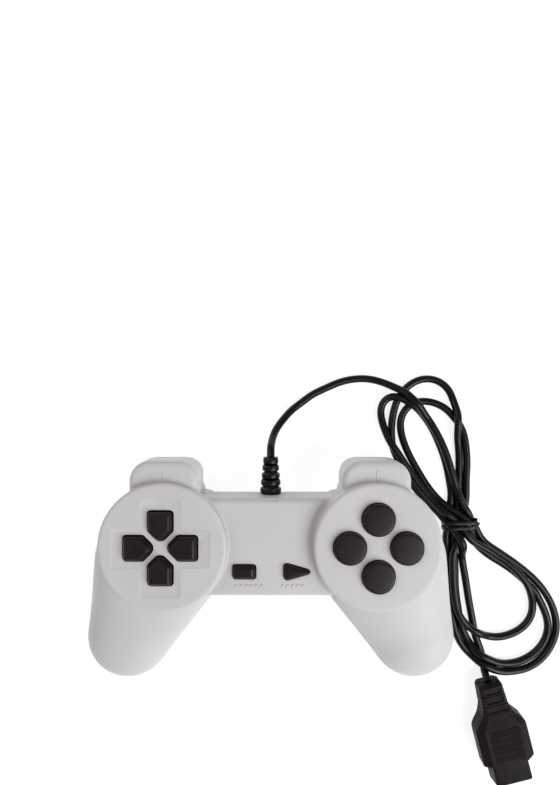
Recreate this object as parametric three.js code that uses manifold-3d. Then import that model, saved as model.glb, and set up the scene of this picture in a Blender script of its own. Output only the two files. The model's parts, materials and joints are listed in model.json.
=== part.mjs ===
// A wired two-grip game controller with its tied lead and nine-way plug, as separate solids.
// Millimetres. +X is the player's right, +Y points away from the player (the side the lead leaves),
// +Z is up. The origin is on the table under the middle of the housing.
import * as THREE from "three";
import { mergeVertices } from "three/addons/utils/BufferGeometryUtils.js";
import Module from "manifold-3d";

const wasm = await Module();
wasm.setup();

// ---------------------------------------------------------------- driving dimensions
const GAP = 0.3; // between pieces that touch
const WALL = 2.0; // moulded wall thickness
const SEAM = { front: 13, rear: 18 }; // the two halves of the housing meet on a sloping plane

// Button pods: two upright drums, each with a flat disc on top.
const POD = { x: 41, y: 12.2, radius: 24.6, bottom: 5, top: 34, foot: 6, rim: 1.2 };
// Bridge between the pods.
const BRIDGE = { front: -7.8, rear: 30.2, bottom: 11, top: 29.5, round: 2.4 };
// Shoulder lobes behind the pods, which stand on the table; below the waist their walls draw in.
const LOBE = { halfWidth: 13.3, rear: 44.8, top: 31, corner: 8, round: 2.2, waist: 17, draw: 1.9, foot: 1.2 };
// Grips: tapering handles from a wide root under each pod to a round end, which also stands on the table.
const GRIP = {
  rootX: 45.6,
  rootY: 2.3,
  rootRadius: 25.3,
  endX: 57.6,
  endY: -27.4,
  endRadius: 17.1,
  halfHeight: 13.5,
  startZ: 18,
  endZ: 13.1,
  fullness: 2.3,
};

// Stack inside the housing, from the board up.
const BOARD = { top: 20, thick: 1.6, podRadius: 19.6, front: -2.5, rear: 20 };
const RUBBER = { base: 1.2, margin: 20, domeTop: 24.6, domeRadius: 5.0, crown: 3.4, crownThick: 1.5 };
const STEM_BOTTOM = RUBBER.domeTop + GAP;
const PILL = { radius: 2.4, thick: 0.9 };
const PILL_TOP = RUBBER.domeTop - RUBBER.crownThick - GAP;

// Round face buttons, in a diamond.
const FACE = { radius: 6.15, ring: 10.8, top: 36.5, flange: 7.3, flangeThick: 1.6, draft: 0.2 };
// Direction pad: four house-shaped caps on one rocking cross.
const PAD = {
  x: -41.5,
  y: 12.2,
  halfWidth: 4.5,
  reach: 13.8,
  shoulder: 6.7,
  tipRound: 2.3,
  top: 36.5,
  armHalf: 5.6,
  armReach: 15.6,
  plateBottom: 28,
  plateTop: 29.5,
  pivotZ: 30,
  ball: 1.6,
  footRing: 10.2,
};
// Two option buttons on the bridge: a block on the left and a triangle on the right.
const OPTION = { x: 10, y: 2, width: 8.5, depth: 5.1, top: 31.7, flangeThick: 1.3 };
const WEDGE = { left: 4.6, tip: 6.9, half: 3.2 }; // the triangle, measured from its stem

// Lead, strain relief and plug.
const LEAD = { radius: 1.6, z: 18 };
const BOOT = { tipY: 45, tipRadius: 3.1, baseRadius: 4.3, neck: 3.3, flange: 4.7, ribs: 5 };
const PLUG = { x: 91.75, y: -51.35, z: 6.1, angle: -75.7, bodyLength: 33, noseLength: 9 };

const CASE_SCREWS = [
  { x: 55, y: -22, seat: 7, tip: 22 },
  { x: 41, y: 37.4, seat: 8, tip: 25 },
  { x: 14.5, y: 24.5, seat: 13.8, tip: 25.5 },
];
const BOARD_SCREWS = [-15.5, 15.5].map((x) => ({ x, y: 15.5 }));
const BOARD_SCREW_TIP = 25.5;
const SIDES = [-1, 1];

// ---------------------------------------------------------------- materials
const plastic = (color, roughness = 0.45) =>
  new THREE.MeshStandardMaterial({ color, roughness, metalness: 0 });
const metal = (color, roughness = 0.35) =>
  new THREE.MeshStandardMaterial({ color, roughness, metalness: 1 });
const material = {
  housing: plastic(0xd9d6da, 0.4),
  keycap: plastic(0x262224, 0.42),
  rubber: plastic(0x8d9092, 0.75),
  carbon: plastic(0x151515, 0.8),
  board: plastic(0x8a6a35, 0.55),
  epoxy: plastic(0x101010, 0.3),
  jacket: plastic(0x121210, 0.45),
  plug: plastic(0x1c1a19, 0.5),
  nylon: plastic(0xe8e4d8, 0.4),
  steel: metal(0xb9bcc0),
  brass: metal(0xc7a555),
  ceramic: plastic(0xb5722c, 0.5),
};

// ---------------------------------------------------------------- solids and geometry
// A closed three.js geometry as a manifold-3d solid.
function solid(geometry) {
  const bare = geometry.index ? geometry.toNonIndexed() : geometry.clone();
  bare.deleteAttribute("normal");
  bare.deleteAttribute("uv");
  const merged = mergeVertices(bare, 1e-4);
  const triVerts = new Uint32Array(merged.index.array);
  const vertProperties = merged.attributes.position.array;
  return new wasm.Manifold(new wasm.Mesh({ numProp: 3, vertProperties, triVerts }));
}

// A solid's surface as a three.js geometry.
function surface(made) {
  const mesh = made.getMesh();
  const positions = new Float32Array(mesh.numVert * 3);
  for (let i = 0; i < mesh.numVert; i++) {
    const start = i * mesh.numProp;
    positions.set(mesh.vertProperties.subarray(start, start + 3), i * 3);
  }
  const indexed = new THREE.BufferGeometry();
  indexed.setAttribute("position", new THREE.BufferAttribute(positions, 3));
  indexed.setIndex(new THREE.BufferAttribute(mesh.triVerts, 1));
  const flat = indexed.toNonIndexed();
  flat.computeVertexNormals();
  return flat;
}

const join = (...solids) => solids.flat().reduce((all, next) => all.add(next));
const cut = (from, ...tools) => tools.flat().reduce((left, tool) => left.subtract(tool), from);

// An upright cylinder.
function drum(radius, low, high, x = 0, y = 0, sides = 24, topRadius = radius) {
  const geometry = new THREE.CylinderGeometry(topRadius, radius, high - low, sides);
  geometry.rotateX(Math.PI / 2);
  geometry.translate(x, y, (low + high) / 2);
  return solid(geometry);
}

function block(x0, x1, y0, y1, z0, z1) {
  const geometry = new THREE.BoxGeometry(x1 - x0, y1 - y0, z1 - z0);
  geometry.translate((x0 + x1) / 2, (y0 + y1) / 2, (z0 + z1) / 2);
  return solid(geometry);
}

// An outline in XY, extruded from low to high, with rounded edges if round is given.
function slab(outline, low, high, round = 0, curveSegments = 4) {
  const geometry = new THREE.ExtrudeGeometry(outline, {
    depth: high - low - 2 * round,
    curveSegments,
    bevelEnabled: round > 0,
    bevelThickness: round,
    bevelSize: round,
    bevelOffset: -round,
    bevelSegments: 2,
  });
  geometry.translate(0, 0, low + round);
  return solid(geometry);
}

// An outline drawn in YZ, extruded along X.
function prismAlongX(outline, from, to) {
  const geometry = new THREE.ExtrudeGeometry(outline, {
    depth: to - from,
    bevelEnabled: false,
    curveSegments: 4,
  });
  const axes = new THREE.Matrix4().makeBasis(
    new THREE.Vector3(0, 1, 0),
    new THREE.Vector3(0, 0, 1),
    new THREE.Vector3(1, 0, 0),
  );
  geometry.applyMatrix4(axes);
  geometry.translate(from, 0, 0);
  return solid(geometry);
}

// A body of revolution about an upright axis; profile is [radius, z] pairs from low to high.
function turned(profile, x = 0, y = 0, sides = 24) {
  const points = profile.map(([radius, z]) => new THREE.Vector2(radius, z));
  const geometry = new THREE.LatheGeometry(points, sides);
  geometry.rotateX(Math.PI / 2);
  geometry.translate(x, y, 0);
  return solid(geometry);
}

// The points of a rounded corner in a profile, from one angle to another in degrees.
function arc(cx, cy, radius, from, to, steps = 3) {
  return Array.from({ length: steps + 1 }, (_, i) => {
    const angle = THREE.MathUtils.degToRad(from + ((to - from) * i) / steps);
    return [cx + radius * Math.cos(angle), cy + radius * Math.sin(angle)];
  });
}

// A rectangle with round corners, as a THREE.Shape.
function roundedRectangle(x0, x1, y0, y1, radius) {
  const shape = new THREE.Shape();
  shape.absarc(x1 - radius, y1 - radius, radius, 0, Math.PI / 2);
  shape.absarc(x0 + radius, y1 - radius, radius, Math.PI / 2, Math.PI);
  shape.absarc(x0 + radius, y0 + radius, radius, Math.PI, 1.5 * Math.PI);
  shape.absarc(x1 - radius, y0 + radius, radius, 1.5 * Math.PI, 2 * Math.PI);
  shape.closePath();
  return shape;
}

// A polygon whose corners are rounded: corners are [x, y, radius], anticlockwise.
function roundedPolygon(corners) {
  const shape = new THREE.Shape();
  const at = ([x, y]) => new THREE.Vector2(x, y);
  corners.forEach((corner, i) => {
    const here = at(corner);
    const before = at(corners.at(i - 1)).sub(here);
    const after = at(corners[(i + 1) % corners.length]).sub(here);
    const half = Math.abs(before.angleTo(after)) / 2;
    const setback = corner[2] / Math.tan(half);
    const start = before.setLength(setback).add(here);
    const end = after.setLength(setback).add(here);
    if (i === 0) shape.moveTo(start.x, start.y);
    else shape.lineTo(start.x, start.y);
    shape.quadraticCurveTo(here.x, here.y, end.x, end.y);
  });
  shape.closePath();
  return shape;
}

// A closed skin through rings of points; a ring of one point is a tip.
function loft(rings) {
  const positions = [];
  const triangle = (a, b, c) => positions.push(...a, ...b, ...c);
  const middle = (ring) => [0, 1, 2].map((k) => ring.reduce((sum, p) => sum + p[k], 0) / ring.length);
  const cap = (ring, flip) => {
    const centre = middle(ring);
    ring.forEach((p, i) => {
      const q = ring[(i + 1) % ring.length];
      flip ? triangle(centre, q, p) : triangle(centre, p, q);
    });
  };
  for (let r = 0; r + 1 < rings.length; r++) {
    const [low, high] = [rings[r], rings[r + 1]];
    low.forEach((p, i) => {
      const next = (i + 1) % low.length;
      if (high.length === 1) {
        triangle(p, low[next], high[0]);
        return;
      }
      triangle(p, low[next], high[next]);
      triangle(p, high[next], high[i]);
    });
  }
  cap(rings[0], true);
  if (rings.at(-1).length > 1) cap(rings.at(-1), false);
  const geometry = new THREE.BufferGeometry();
  geometry.setAttribute("position", new THREE.Float32BufferAttribute(positions, 3));
  return solid(geometry);
}

// A round tube along a smooth line through points [x, y, z].
function tube(points, radius, steps, sides = 8) {
  const path = new THREE.CatmullRomCurve3(points.map((p) => new THREE.Vector3(...p)), false, "centripetal");
  const section = new THREE.Shape();
  for (let i = 0; i < sides; i++) {
    const angle = (2 * Math.PI * i) / sides;
    const [x, y] = [radius * Math.cos(angle), radius * Math.sin(angle)];
    if (i === 0) section.moveTo(x, y);
    else section.lineTo(x, y);
  }
  section.closePath();
  return new THREE.ExtrudeGeometry(section, { steps, extrudePath: path });
}

// ---------------------------------------------------------------- the housing's form
// Every function here gives the outer form for inset 0 and the hollow inside it for inset WALL.

function podForm(side, inset) {
  const radius = POD.radius - inset;
  const foot = POD.foot - inset / 2;
  const rim = Math.max(POD.rim - inset, 0.3);
  const [low, high] = [POD.bottom + inset, POD.top - inset];
  const profile = [
    [0, low],
    ...arc(radius - foot, low + foot, foot, -90, 0, 3),
    ...arc(radius - rim, high - rim, rim, 0, 90, 2),
    [0, high],
  ];
  return turned(profile, side * POD.x, POD.y, 44);
}

function lobeForm(side, inset) {
  const x = side * POD.x;
  const round = Math.max(LOBE.round - inset, 0.6);
  const top = LOBE.top - inset;
  const levels = [
    [inset, LOBE.draw + LOBE.foot],
    [inset + LOBE.foot, LOBE.draw],
    [LOBE.waist, 0],
    [top - round, 0],
    [top - 0.3 * round, 0.3 * round],
    [top, round],
  ];
  const rings = levels.map(([z, draw]) => {
    const half = LOBE.halfWidth - inset - draw;
    const corner = LOBE.corner - inset - draw;
    const outline = roundedRectangle(x - half, x + half, POD.y + draw, LOBE.rear - inset - draw, corner);
    return outline.getPoints(5).slice(0, -1).map((p) => [p.x, p.y, z]);
  });
  return loft(rings);
}

function bridgeForm(inset) {
  const round = Math.max(BRIDGE.round - inset, 0.6);
  const [y0, y1] = [BRIDGE.front + inset, BRIDGE.rear - inset];
  const [z0, z1] = [BRIDGE.bottom + inset, BRIDGE.top - inset];
  return prismAlongX(roundedRectangle(y0, y1, z0, z1, round), -POD.x, POD.x);
}

// A grip is a run of full ellipses, square to its axis, from a round root inside the pod to the round end.
function gripForm(side, inset) {
  const start = new THREE.Vector2(GRIP.rootX, GRIP.rootY);
  const end = new THREE.Vector2(GRIP.endX, GRIP.endY);
  const length = start.distanceTo(end);
  const along = end.clone().sub(start).normalize();
  const across = new THREE.Vector2(-along.y, along.x);
  const [wide, narrow] = [GRIP.rootRadius - inset, GRIP.endRadius - inset];
  const lean = Math.asin((wide - narrow) / length);
  const tall = GRIP.halfHeight - inset;
  const SECTION = 24;
  const STRAIGHT = 4;
  const ROUND = 5;
  const stations = [];
  for (const turn of [-50, -15]) {
    const angle = THREE.MathUtils.degToRad(turn);
    stations.push([wide * Math.sin(angle), wide * Math.cos(angle), tall * Math.cos(angle)]);
  }
  const [first, last] = [wide * Math.sin(lean), length + narrow * Math.sin(lean)];
  for (let i = 0; i <= STRAIGHT; i++) {
    const s = THREE.MathUtils.lerp(first, last, i / STRAIGHT);
    const half = (wide + ((narrow - wide) * s) / length) / Math.cos(lean);
    stations.push([s, half, tall * Math.sqrt(1 - (Math.max(s - length, 0) / narrow) ** 2)]);
  }
  for (let i = 1; i < ROUND; i++) {
    const angle = lean + ((Math.PI / 2 - lean) * i) / ROUND;
    stations.push([length + narrow * Math.sin(angle), narrow * Math.cos(angle), tall * Math.cos(angle)]);
  }
  const point = (s, u, z) => {
    const p = start.clone().addScaledVector(along, s).addScaledVector(across, u);
    return [side * p.x, p.y, z];
  };
  const centreZ = (s) => {
    const t = THREE.MathUtils.smoothstep(s, 0, length);
    return THREE.MathUtils.lerp(GRIP.startZ, GRIP.endZ, t);
  };
  const power = (v) => Math.sign(v) * Math.abs(v) ** (2 / GRIP.fullness);
  const rings = stations.map(([s, half, high]) =>
    Array.from({ length: SECTION }, (_, i) => {
      const angle = (side * 2 * Math.PI * i) / SECTION;
      return point(s, half * power(Math.cos(angle)), centreZ(s) + high * power(Math.sin(angle)));
    }),
  );
  rings.push([point(length + narrow, 0, GRIP.endZ)]);
  const below = block(-200, 200, -200, 200, -50, inset);
  return cut(loft(rings), below);
}

function housingForm(inset) {
  const pieces = SIDES.flatMap((side) => [
    podForm(side, inset),
    lobeForm(side, inset),
    gripForm(side, inset),
  ]);
  return join(bridgeForm(inset), pieces);
}

// ---------------------------------------------------------------- keycap outlines
const turnedBy = (x, y, quarter) => {
  const [c, s] = [[1, 0], [0, 1], [-1, 0], [0, -1]][quarter];
  return [x * c - y * s, x * s + y * c];
};

// One house-shaped cap of the direction pad, pointing at the pad's centre; grown by extra all round.
function padCapOutline(quarter, extra = 0) {
  const half = PAD.halfWidth + extra;
  const slope = PAD.shoulder - PAD.halfWidth - extra * Math.SQRT2;
  const corners = [
    [slope, 0, PAD.tipRound],
    [slope + half, -half, 0.8],
    [PAD.reach + extra, -half, 0.8],
    [PAD.reach + extra, half, 0.8],
    [slope + half, half, 0.8],
  ];
  const placed = corners.map(([x, y, radius]) => {
    const [u, v] = turnedBy(x, y, quarter);
    return [u + PAD.x, v + PAD.y, radius];
  });
  return roundedPolygon(placed);
}

function selectOutline(extra = 0) {
  const [w, d] = [OPTION.width / 2 + extra, OPTION.depth / 2 + extra];
  return roundedRectangle(-OPTION.x - w, -OPTION.x + w, OPTION.y - d, OPTION.y + d, 0.8);
}

function startOutline(extra = 0) {
  const slope = Math.atan2(WEDGE.half, WEDGE.left + WEDGE.tip);
  const [left, right] = [OPTION.x - WEDGE.left - extra, OPTION.x + WEDGE.tip + extra / Math.sin(slope)];
  const half = WEDGE.half + extra * (1 / Math.cos(slope) + Math.tan(slope));
  return roundedPolygon([
    [right, OPTION.y, 1.05],
    [left, OPTION.y + half, 1.3],
    [left, OPTION.y - half, 1.3],
  ]);
}

const FACE_PLACES = { right: [1, 0], rear: [0, 1], left: [-1, 0], front: [0, -1] };
const facePlace = ([u, v]) => [POD.x + FACE.ring * u, POD.y + FACE.ring * v];

// ---------------------------------------------------------------- the housing's two halves
// All the space above the seam (lift > 0) or below it (lift < 0), half a gap clear of it.
function seamSide(lift) {
  const far = 200;
  const clear = (lift * GAP) / 2;
  const section = new THREE.Shape([
    new THREE.Vector2(-far, lift * far),
    new THREE.Vector2(-far, SEAM.front + clear),
    new THREE.Vector2(GRIP.endY, SEAM.front + clear),
    new THREE.Vector2(POD.y, SEAM.rear + clear),
    new THREE.Vector2(far, SEAM.rear + clear),
    new THREE.Vector2(far, lift * far),
  ]);
  return prismAlongX(section, -far, far);
}

function screwBosses(radius) {
  return SIDES.flatMap((side) => CASE_SCREWS.map(({ x, y }) => drum(radius, -1, 40, side * x, y, 14)));
}

function topShell(form, hollow) {
  const underDisc = POD.top - WALL;
  const wellBottom = BOARD.top + GAP + RUBBER.base + GAP;
  const upper = seamSide(1);
  const wells = SIDES.map((side) => {
    const outside = drum(20.2, wellBottom, underDisc + 1, side * POD.x, POD.y, 32);
    const inside = drum(18.8, wellBottom - 1, underDisc, side * POD.x, POD.y, 32);
    return cut(outside, inside);
  });
  const faceGuide = drum(19.5, underDisc - 3.6, underDisc + 1, POD.x, POD.y, 40);
  const facePockets = Object.values(FACE_PLACES).map((place) => {
    const [x, y] = facePlace(place);
    return drum(FACE.flange + GAP, underDisc - 5, underDisc, x, y, 24);
  });
  const pivotBoss = drum(2.35, PAD.pivotZ + 0.7, underDisc + 1, PAD.x, PAD.y, 16);
  const posts = BOARD_SCREWS.map(({ x, y }) => drum(3, BOARD.top + GAP, BRIDGE.top - 1, x, y, 16));
  const bosses = screwBosses(3.4).map((boss) => boss.intersect(form).intersect(upper));
  const solidParts = join(
    cut(form, hollow).intersect(upper),
    wells,
    cut(faceGuide, facePockets),
    pivotBoss,
    posts,
    bosses,
  );

  const faceHoles = Object.values(FACE_PLACES).map((place) => {
    const [x, y] = facePlace(place);
    return drum(FACE.radius + FACE.draft + GAP, underDisc - 2, 45, x, y, 28);
  });
  const padHoles = [0, 1, 2, 3].map((quarter) => slab(padCapOutline(quarter, 0.5), underDisc - 0.5, 45));
  const optionHoles = [selectOutline(0.35), startOutline(0.35)].map((hole) => slab(hole, 25, 45));
  const cup = solid(new THREE.SphereGeometry(PAD.ball + GAP, 16, 10).translate(PAD.x, PAD.y, PAD.pivotZ));
  const screwHoles = SIDES.flatMap((side) =>
    CASE_SCREWS.map(({ x, y, tip }) => drum(1.6, 0, tip + GAP, side * x, y, 12)),
  );
  const postHoles = BOARD_SCREWS.map(({ x, y }) => drum(1.3, BOARD.top, BOARD_SCREW_TIP + GAP, x, y, 10));
  return cut(solidParts, faceHoles, padHoles, optionHoles, cup, screwHoles, postHoles, leadHole());
}

function bottomShell(form, hollow) {
  const lower = seamSide(-1);
  const bosses = screwBosses(4.6).map((boss) => boss.intersect(form).intersect(lower));
  const boardRests = SIDES.flatMap((side) =>
    [-12, 12].map((dy) =>
      drum(2, -1, BOARD.top - BOARD.thick - GAP, side * POD.x, POD.y + dy, 10).intersect(form),
    ),
  );
  const screwHoles = SIDES.flatMap((side) =>
    CASE_SCREWS.flatMap(({ x, y, seat }) => [
      drum(3.2, -1, seat, side * x, y, 14),
      drum(1.7, seat - 1, SEAM.rear + 1, side * x, y, 12),
    ]),
  );
  return cut(join(cut(form, hollow).intersect(lower), bosses, boardRests), screwHoles, leadHole());
}

// The round hole that the strain relief sits in, half in each shell.
function leadHole() {
  const geometry = new THREE.CylinderGeometry(BOOT.neck + GAP, BOOT.neck + GAP, 8, 24);
  geometry.translate(0, BRIDGE.rear, LEAD.z);
  return solid(geometry);
}

// ---------------------------------------------------------------- moving pieces
function faceButton([x, y]) {
  const underDisc = POD.top - WALL;
  const flangeTop = underDisc - GAP;
  const edge = 0.7;
  const profile = [
    [0, STEM_BOTTOM],
    [3.2, STEM_BOTTOM],
    [3.2, flangeTop - FACE.flangeThick],
    [FACE.flange, flangeTop - FACE.flangeThick],
    [FACE.flange, flangeTop],
    [FACE.radius + FACE.draft, flangeTop],
    ...arc(FACE.radius - edge, FACE.top - edge, edge, 0, 90, 3),
    [0, FACE.top],
  ];
  return turned(profile, x, y, 28);
}

function directionPad() {
  const across = block(-PAD.armReach, PAD.armReach, -PAD.armHalf, PAD.armHalf, PAD.plateBottom, PAD.plateTop);
  const along = block(-PAD.armHalf, PAD.armHalf, -PAD.armReach, PAD.armReach, PAD.plateBottom, PAD.plateTop);
  const hub = drum(3.4, PAD.plateBottom - 2, PAD.plateTop, 0, 0, 20);
  const feet = [0, 1, 2, 3].map((quarter) => {
    const [x, y] = turnedBy(PAD.footRing, 0, quarter);
    return drum(2.6, STEM_BOTTOM, PAD.plateBottom + 0.5, x, y, 16);
  });
  const cross = join(across, along, hub, feet).translate([PAD.x, PAD.y, 0]);
  const caps = [0, 1, 2, 3].map((quarter) => slab(padCapOutline(quarter), PAD.plateTop - 0.5, PAD.top, 0.5));
  const seat = solid(
    new THREE.SphereGeometry(PAD.ball + GAP, 16, 10).translate(PAD.x, PAD.y, PAD.pivotZ),
  );
  return cut(join(cross, caps), seat);
}

function optionButton(outline, x, edge) {
  const flangeTop = BRIDGE.top - WALL - GAP;
  const cap = slab(outline, flangeTop - 0.5, OPTION.top, edge);
  const [w, d] = [OPTION.width / 2 + 1.6, OPTION.depth / 2 + 1.4];
  const flangeOutline = roundedRectangle(x - w, x + w, OPTION.y - d, OPTION.y + d, 1);
  const flange = slab(flangeOutline, flangeTop - OPTION.flangeThick, flangeTop);
  return join(cap, flange, drum(2.6, STEM_BOTTOM, flangeTop - 1, x, OPTION.y, 16));
}

// ---------------------------------------------------------------- rubber sheets, board, electronics
// A rubber sheet with a hollow dome at each place.
function rubberSheet(base, places) {
  const low = BOARD.top + GAP;
  const high = low + RUBBER.base;
  const domes = places.map(([x, y]) =>
    drum(RUBBER.domeRadius, high - 0.2, RUBBER.domeTop, x, y, 16, RUBBER.crown),
  );
  const hollows = places.map(([x, y]) => {
    const roof = RUBBER.domeTop - RUBBER.crownThick;
    return drum(RUBBER.domeRadius - 1, low - 1, roof, x, y, 16, RUBBER.crown - 0.7);
  });
  return cut(join(base(low, high), domes), hollows);
}

const pill = ([x, y]) => drum(PILL.radius, PILL_TOP - PILL.thick, PILL_TOP, x, y, 16);

function mainBoard() {
  const [low, high] = [BOARD.top - BOARD.thick, BOARD.top];
  const strip = block(-POD.x, POD.x, BOARD.front, BOARD.rear, low, high);
  const discs = SIDES.map((side) => drum(BOARD.podRadius, low, high, side * POD.x, POD.y, 36));
  const holes = BOARD_SCREWS.map(({ x, y }) => drum(1.5, low - 1, high + 1, x, y, 12));
  return cut(join(strip, discs), holes);
}

// A pan-head self-tapping screw, head down, with a cross recess.
function screw(headRadius, headHeight, shankRadius, length) {
  const profile = [
    [0, 0],
    [headRadius * 0.7, 0],
    [headRadius, headHeight * 0.5],
    [headRadius, headHeight],
    [shankRadius, headHeight],
    [shankRadius, headHeight + length - 1.5],
    [0, headHeight + length],
  ];
  const slot = headRadius * 0.55;
  const width = headRadius * 0.13;
  const recess = [
    block(-slot, slot, -width, width, -1, headHeight * 0.5),
    block(-width, width, -slot, slot, -1, headHeight * 0.5),
  ];
  return cut(turned(profile, 0, 0, 12), recess);
}

// ---------------------------------------------------------------- lead, strain relief, plug
// The strain relief: an inner flange, a neck in the wall, and tapering ribs outside.
function strainRelief() {
  const wallOut = BRIDGE.rear + GAP;
  const wallIn = BRIDGE.rear - WALL - GAP;
  const pitch = (BOOT.tipY - wallOut) / BOOT.ribs;
  const profile = [
    [0, wallIn - 2],
    [BOOT.flange, wallIn - 2],
    [BOOT.flange, wallIn],
    [BOOT.neck, wallIn],
    [BOOT.neck, wallOut],
  ];
  for (let i = 0; i < BOOT.ribs; i++) {
    const radius = THREE.MathUtils.lerp(BOOT.baseRadius, BOOT.tipRadius, i / (BOOT.ribs - 1));
    const y = wallOut + i * pitch;
    profile.push([radius, y], [radius, y + pitch * 0.62], [radius - 0.7, y + pitch * 0.7]);
    profile.push([radius - 0.7, y + pitch - 0.05]);
  }
  profile[profile.length - 1][1] = BOOT.tipY;
  profile.push([0, BOOT.tipY]);
  const points = profile.map(([radius, y]) => new THREE.Vector2(radius, y));
  return solid(new THREE.LatheGeometry(points, 16).translate(0, 0, LEAD.z));
}

// The lead's free run from the strain relief down to the table and along to the tied hank.
const LEAD_ROUTE = [
  [0, BOOT.tipY + 2 * GAP, LEAD.z],
  [0, 47.6, 17.4],
  [0.2, 50.0, 15.0],
  [1.8, 55.0, 11.0],
  [5.0, 59.4, 7.4],
  [9.2, 63.8, 4.4],
  [13.2, 66.7, 2.6],
  [17.5, 69.8, 1.8],
  [23.3, 72.8, 1.7],
  [29.6, 75.5, 1.7],
  [34.8, 76.7, 1.7],
  [39.9, 77.0, 1.9],
  [44.9, 76.3, 2.8],
  [51.0, 74.1, 4.7],
];

// The outline of the tied hank: long loops above the tie and round loops below it.
const HANK_OUTLINE = [
  [73.4, 13.6],
  [71.2, 17.7],
  [66.8, 21.7],
  [62.4, 25.8],
  [59.2, 29.7],
  [56.6, 33.7],
  [55, 37.4],
  [53.8, 40.8],
  [51.8, 44.2],
  [50, 47.2],
  [48.6, 50.2],
  [47.2, 53.7],
  [45.8, 57.7],
  [45.2, 61.2],
  [45.4, 65.7],
  [47, 69.2],
  [50.8, 71.6],
  [53.6, 74.8],
  [57.4, 77.6],
  [62.4, 78.6],
  [68.4, 78.6],
  [73.4, 77.2],
  [77.6, 74],
  [80.4, 68.2],
  [82.4, 62.2],
  [84.2, 56.2],
  [85.6, 49.2],
  [86, 42.2],
  [85.9, 33.2],
  [85.8, 25.2],
  [86.7, 19.2],
  [88.6, 15],
  [92.9, 10.8],
  [98, 6.8],
  [103.4, 2.8],
  [109.2, -1.8],
  [114.6, -6.8],
  [119.4, -13],
  [122.8, -19.3],
  [124.6, -26.8],
  [124, -33.3],
  [121.8, -39.3],
  [118, -44.2],
  [113, -47.8],
  [106.9, -50.2],
  [101.4, -50.8],
  [98.6, -49.4],
  [96, -47.2],
  [90.9, -45.4],
  [85.8, -43.2],
  [81.4, -39.2],
  [78.4, -34.4],
  [76.6, -28.8],
  [75.5, -22.8],
  [74.3, -15.8],
  [73.9, -8.8],
  [73.8, -0.8],
  [73.3, 7.2],
];
const HANK_HEIGHT = 8.4;
const TIE = { x: 80.5, y: 15, halfWidth: 8.0, height: 9.4, width: 3.2, thick: 0.9 };

function hank() {
  const shape = new THREE.Shape(HANK_OUTLINE.map(([x, y]) => new THREE.Vector2(x, y)));
  const inside = TIE.halfWidth - TIE.thick - 2.5 * GAP;
  const low = TIE.thick + GAP;
  const high = TIE.height - TIE.thick - GAP;
  const beside = [-1, 1].map((side) => {
    const [a, b] = [TIE.x + side * inside, TIE.x + side * 20].sort((p, q) => p - q);
    return block(a, b, TIE.y - TIE.width / 2 - GAP, TIE.y + TIE.width / 2 + GAP, -1, 20);
  });
  const beneath = block(60, 100, TIE.y - TIE.width / 2 - GAP, TIE.y + TIE.width / 2 + GAP, -1, low);
  const above = block(60, 100, TIE.y - TIE.width / 2 - GAP, TIE.y + TIE.width / 2 + GAP, high, 20);
  return cut(slab(shape, 0, HANK_HEIGHT), beside, beneath, above);
}

// The tie is one flat loop round the neck of the hank.
function tie() {
  const half = TIE.halfWidth;
  const outer = roundedRectangle(TIE.x - half, TIE.x + half, 0, TIE.height, 2);
  const innerHalf = half - TIE.thick;
  const hole = roundedRectangle(TIE.x - innerHalf, TIE.x + innerHalf, TIE.thick, TIE.height - TIE.thick, 1.2);
  outer.holes.push(hole);
  const geometry = new THREE.ExtrudeGeometry(outer, {
    depth: TIE.width,
    bevelEnabled: false,
    curveSegments: 4,
  });
  geometry.rotateX(Math.PI / 2);
  geometry.translate(0, TIE.y + TIE.width / 2, 0);
  return solid(geometry);
}

// The plug lies along its own +X, from the lead's end to the socket face.
function plugSection(x, halfWidth, halfHeight) {
  const round = Math.min(2.4, halfHeight * 0.5);
  const corner = (cy, cz, from) => arc(cy, cz, round, from, from + 90, 3).map(([y, z]) => [x, y, z]);
  return [
    ...corner(halfWidth - round, halfHeight - round, 0),
    ...corner(round - halfWidth, halfHeight - round, 90),
    ...corner(round - halfWidth, round - halfHeight, 180),
    ...corner(halfWidth - round, round - halfHeight, 270),
  ];
}

function plugBody(noseRoom) {
  const collars = [
    [0, 4.6, 4.2],
    [0.6, 5.0, 4.6],
    [4.2, 5.0, 4.6],
    [4.5, 4.4, 4.0],
    [5.2, 4.4, 4.0],
    [5.5, 5.1, 4.7],
    [7.8, 5.1, 4.7],
    [8.1, 4.6, 4.2],
    [8.9, 4.6, 4.2],
    [9.2, 5.3, 4.9],
    [11, 5.4, 5.0],
  ];
  const shoulders = [
    [12.4, 6.0, 5.3],
    [14.2, 7.7, 5.6],
    [16, 9.6, 5.8],
    [17.6, 10.5, 6.0],
    [19, 10.8, 6.0],
    [PLUG.bodyLength - 0.8, 10.8, 6.0],
    [PLUG.bodyLength, 10.2, 5.5],
  ];
  const rings = [...collars, ...shoulders].map(([x, w, h]) => plugSection(x, w, h));
  return cut(loft(rings), noseRoom);
}

// The D-shaped socket block: narrower along its top edge.
function noseOutline(extra = 0) {
  const [top, bottom, half] = [7.3 + extra, 8.5 + extra, 4.2 + extra];
  return roundedPolygon([
    [-bottom, -half, 1.4],
    [bottom, -half, 1.4],
    [top, half, 1.4],
    [-top, half, 1.4],
  ]);
}

const ROW_PITCH = 2.76;
const ROW_OFFSET = 1.42;
const CONTACTS = [
  ...[-2, -1, 0, 1, 2].map((i) => [i * ROW_PITCH, -ROW_OFFSET]),
  ...[-1.5, -0.5, 0.5, 1.5].map((i) => [i * ROW_PITCH, ROW_OFFSET]),
];
const WIRED_CONTACTS = [1, 2, 3, 5, 7];
const NOSE_END = PLUG.bodyLength + PLUG.noseLength;

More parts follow.
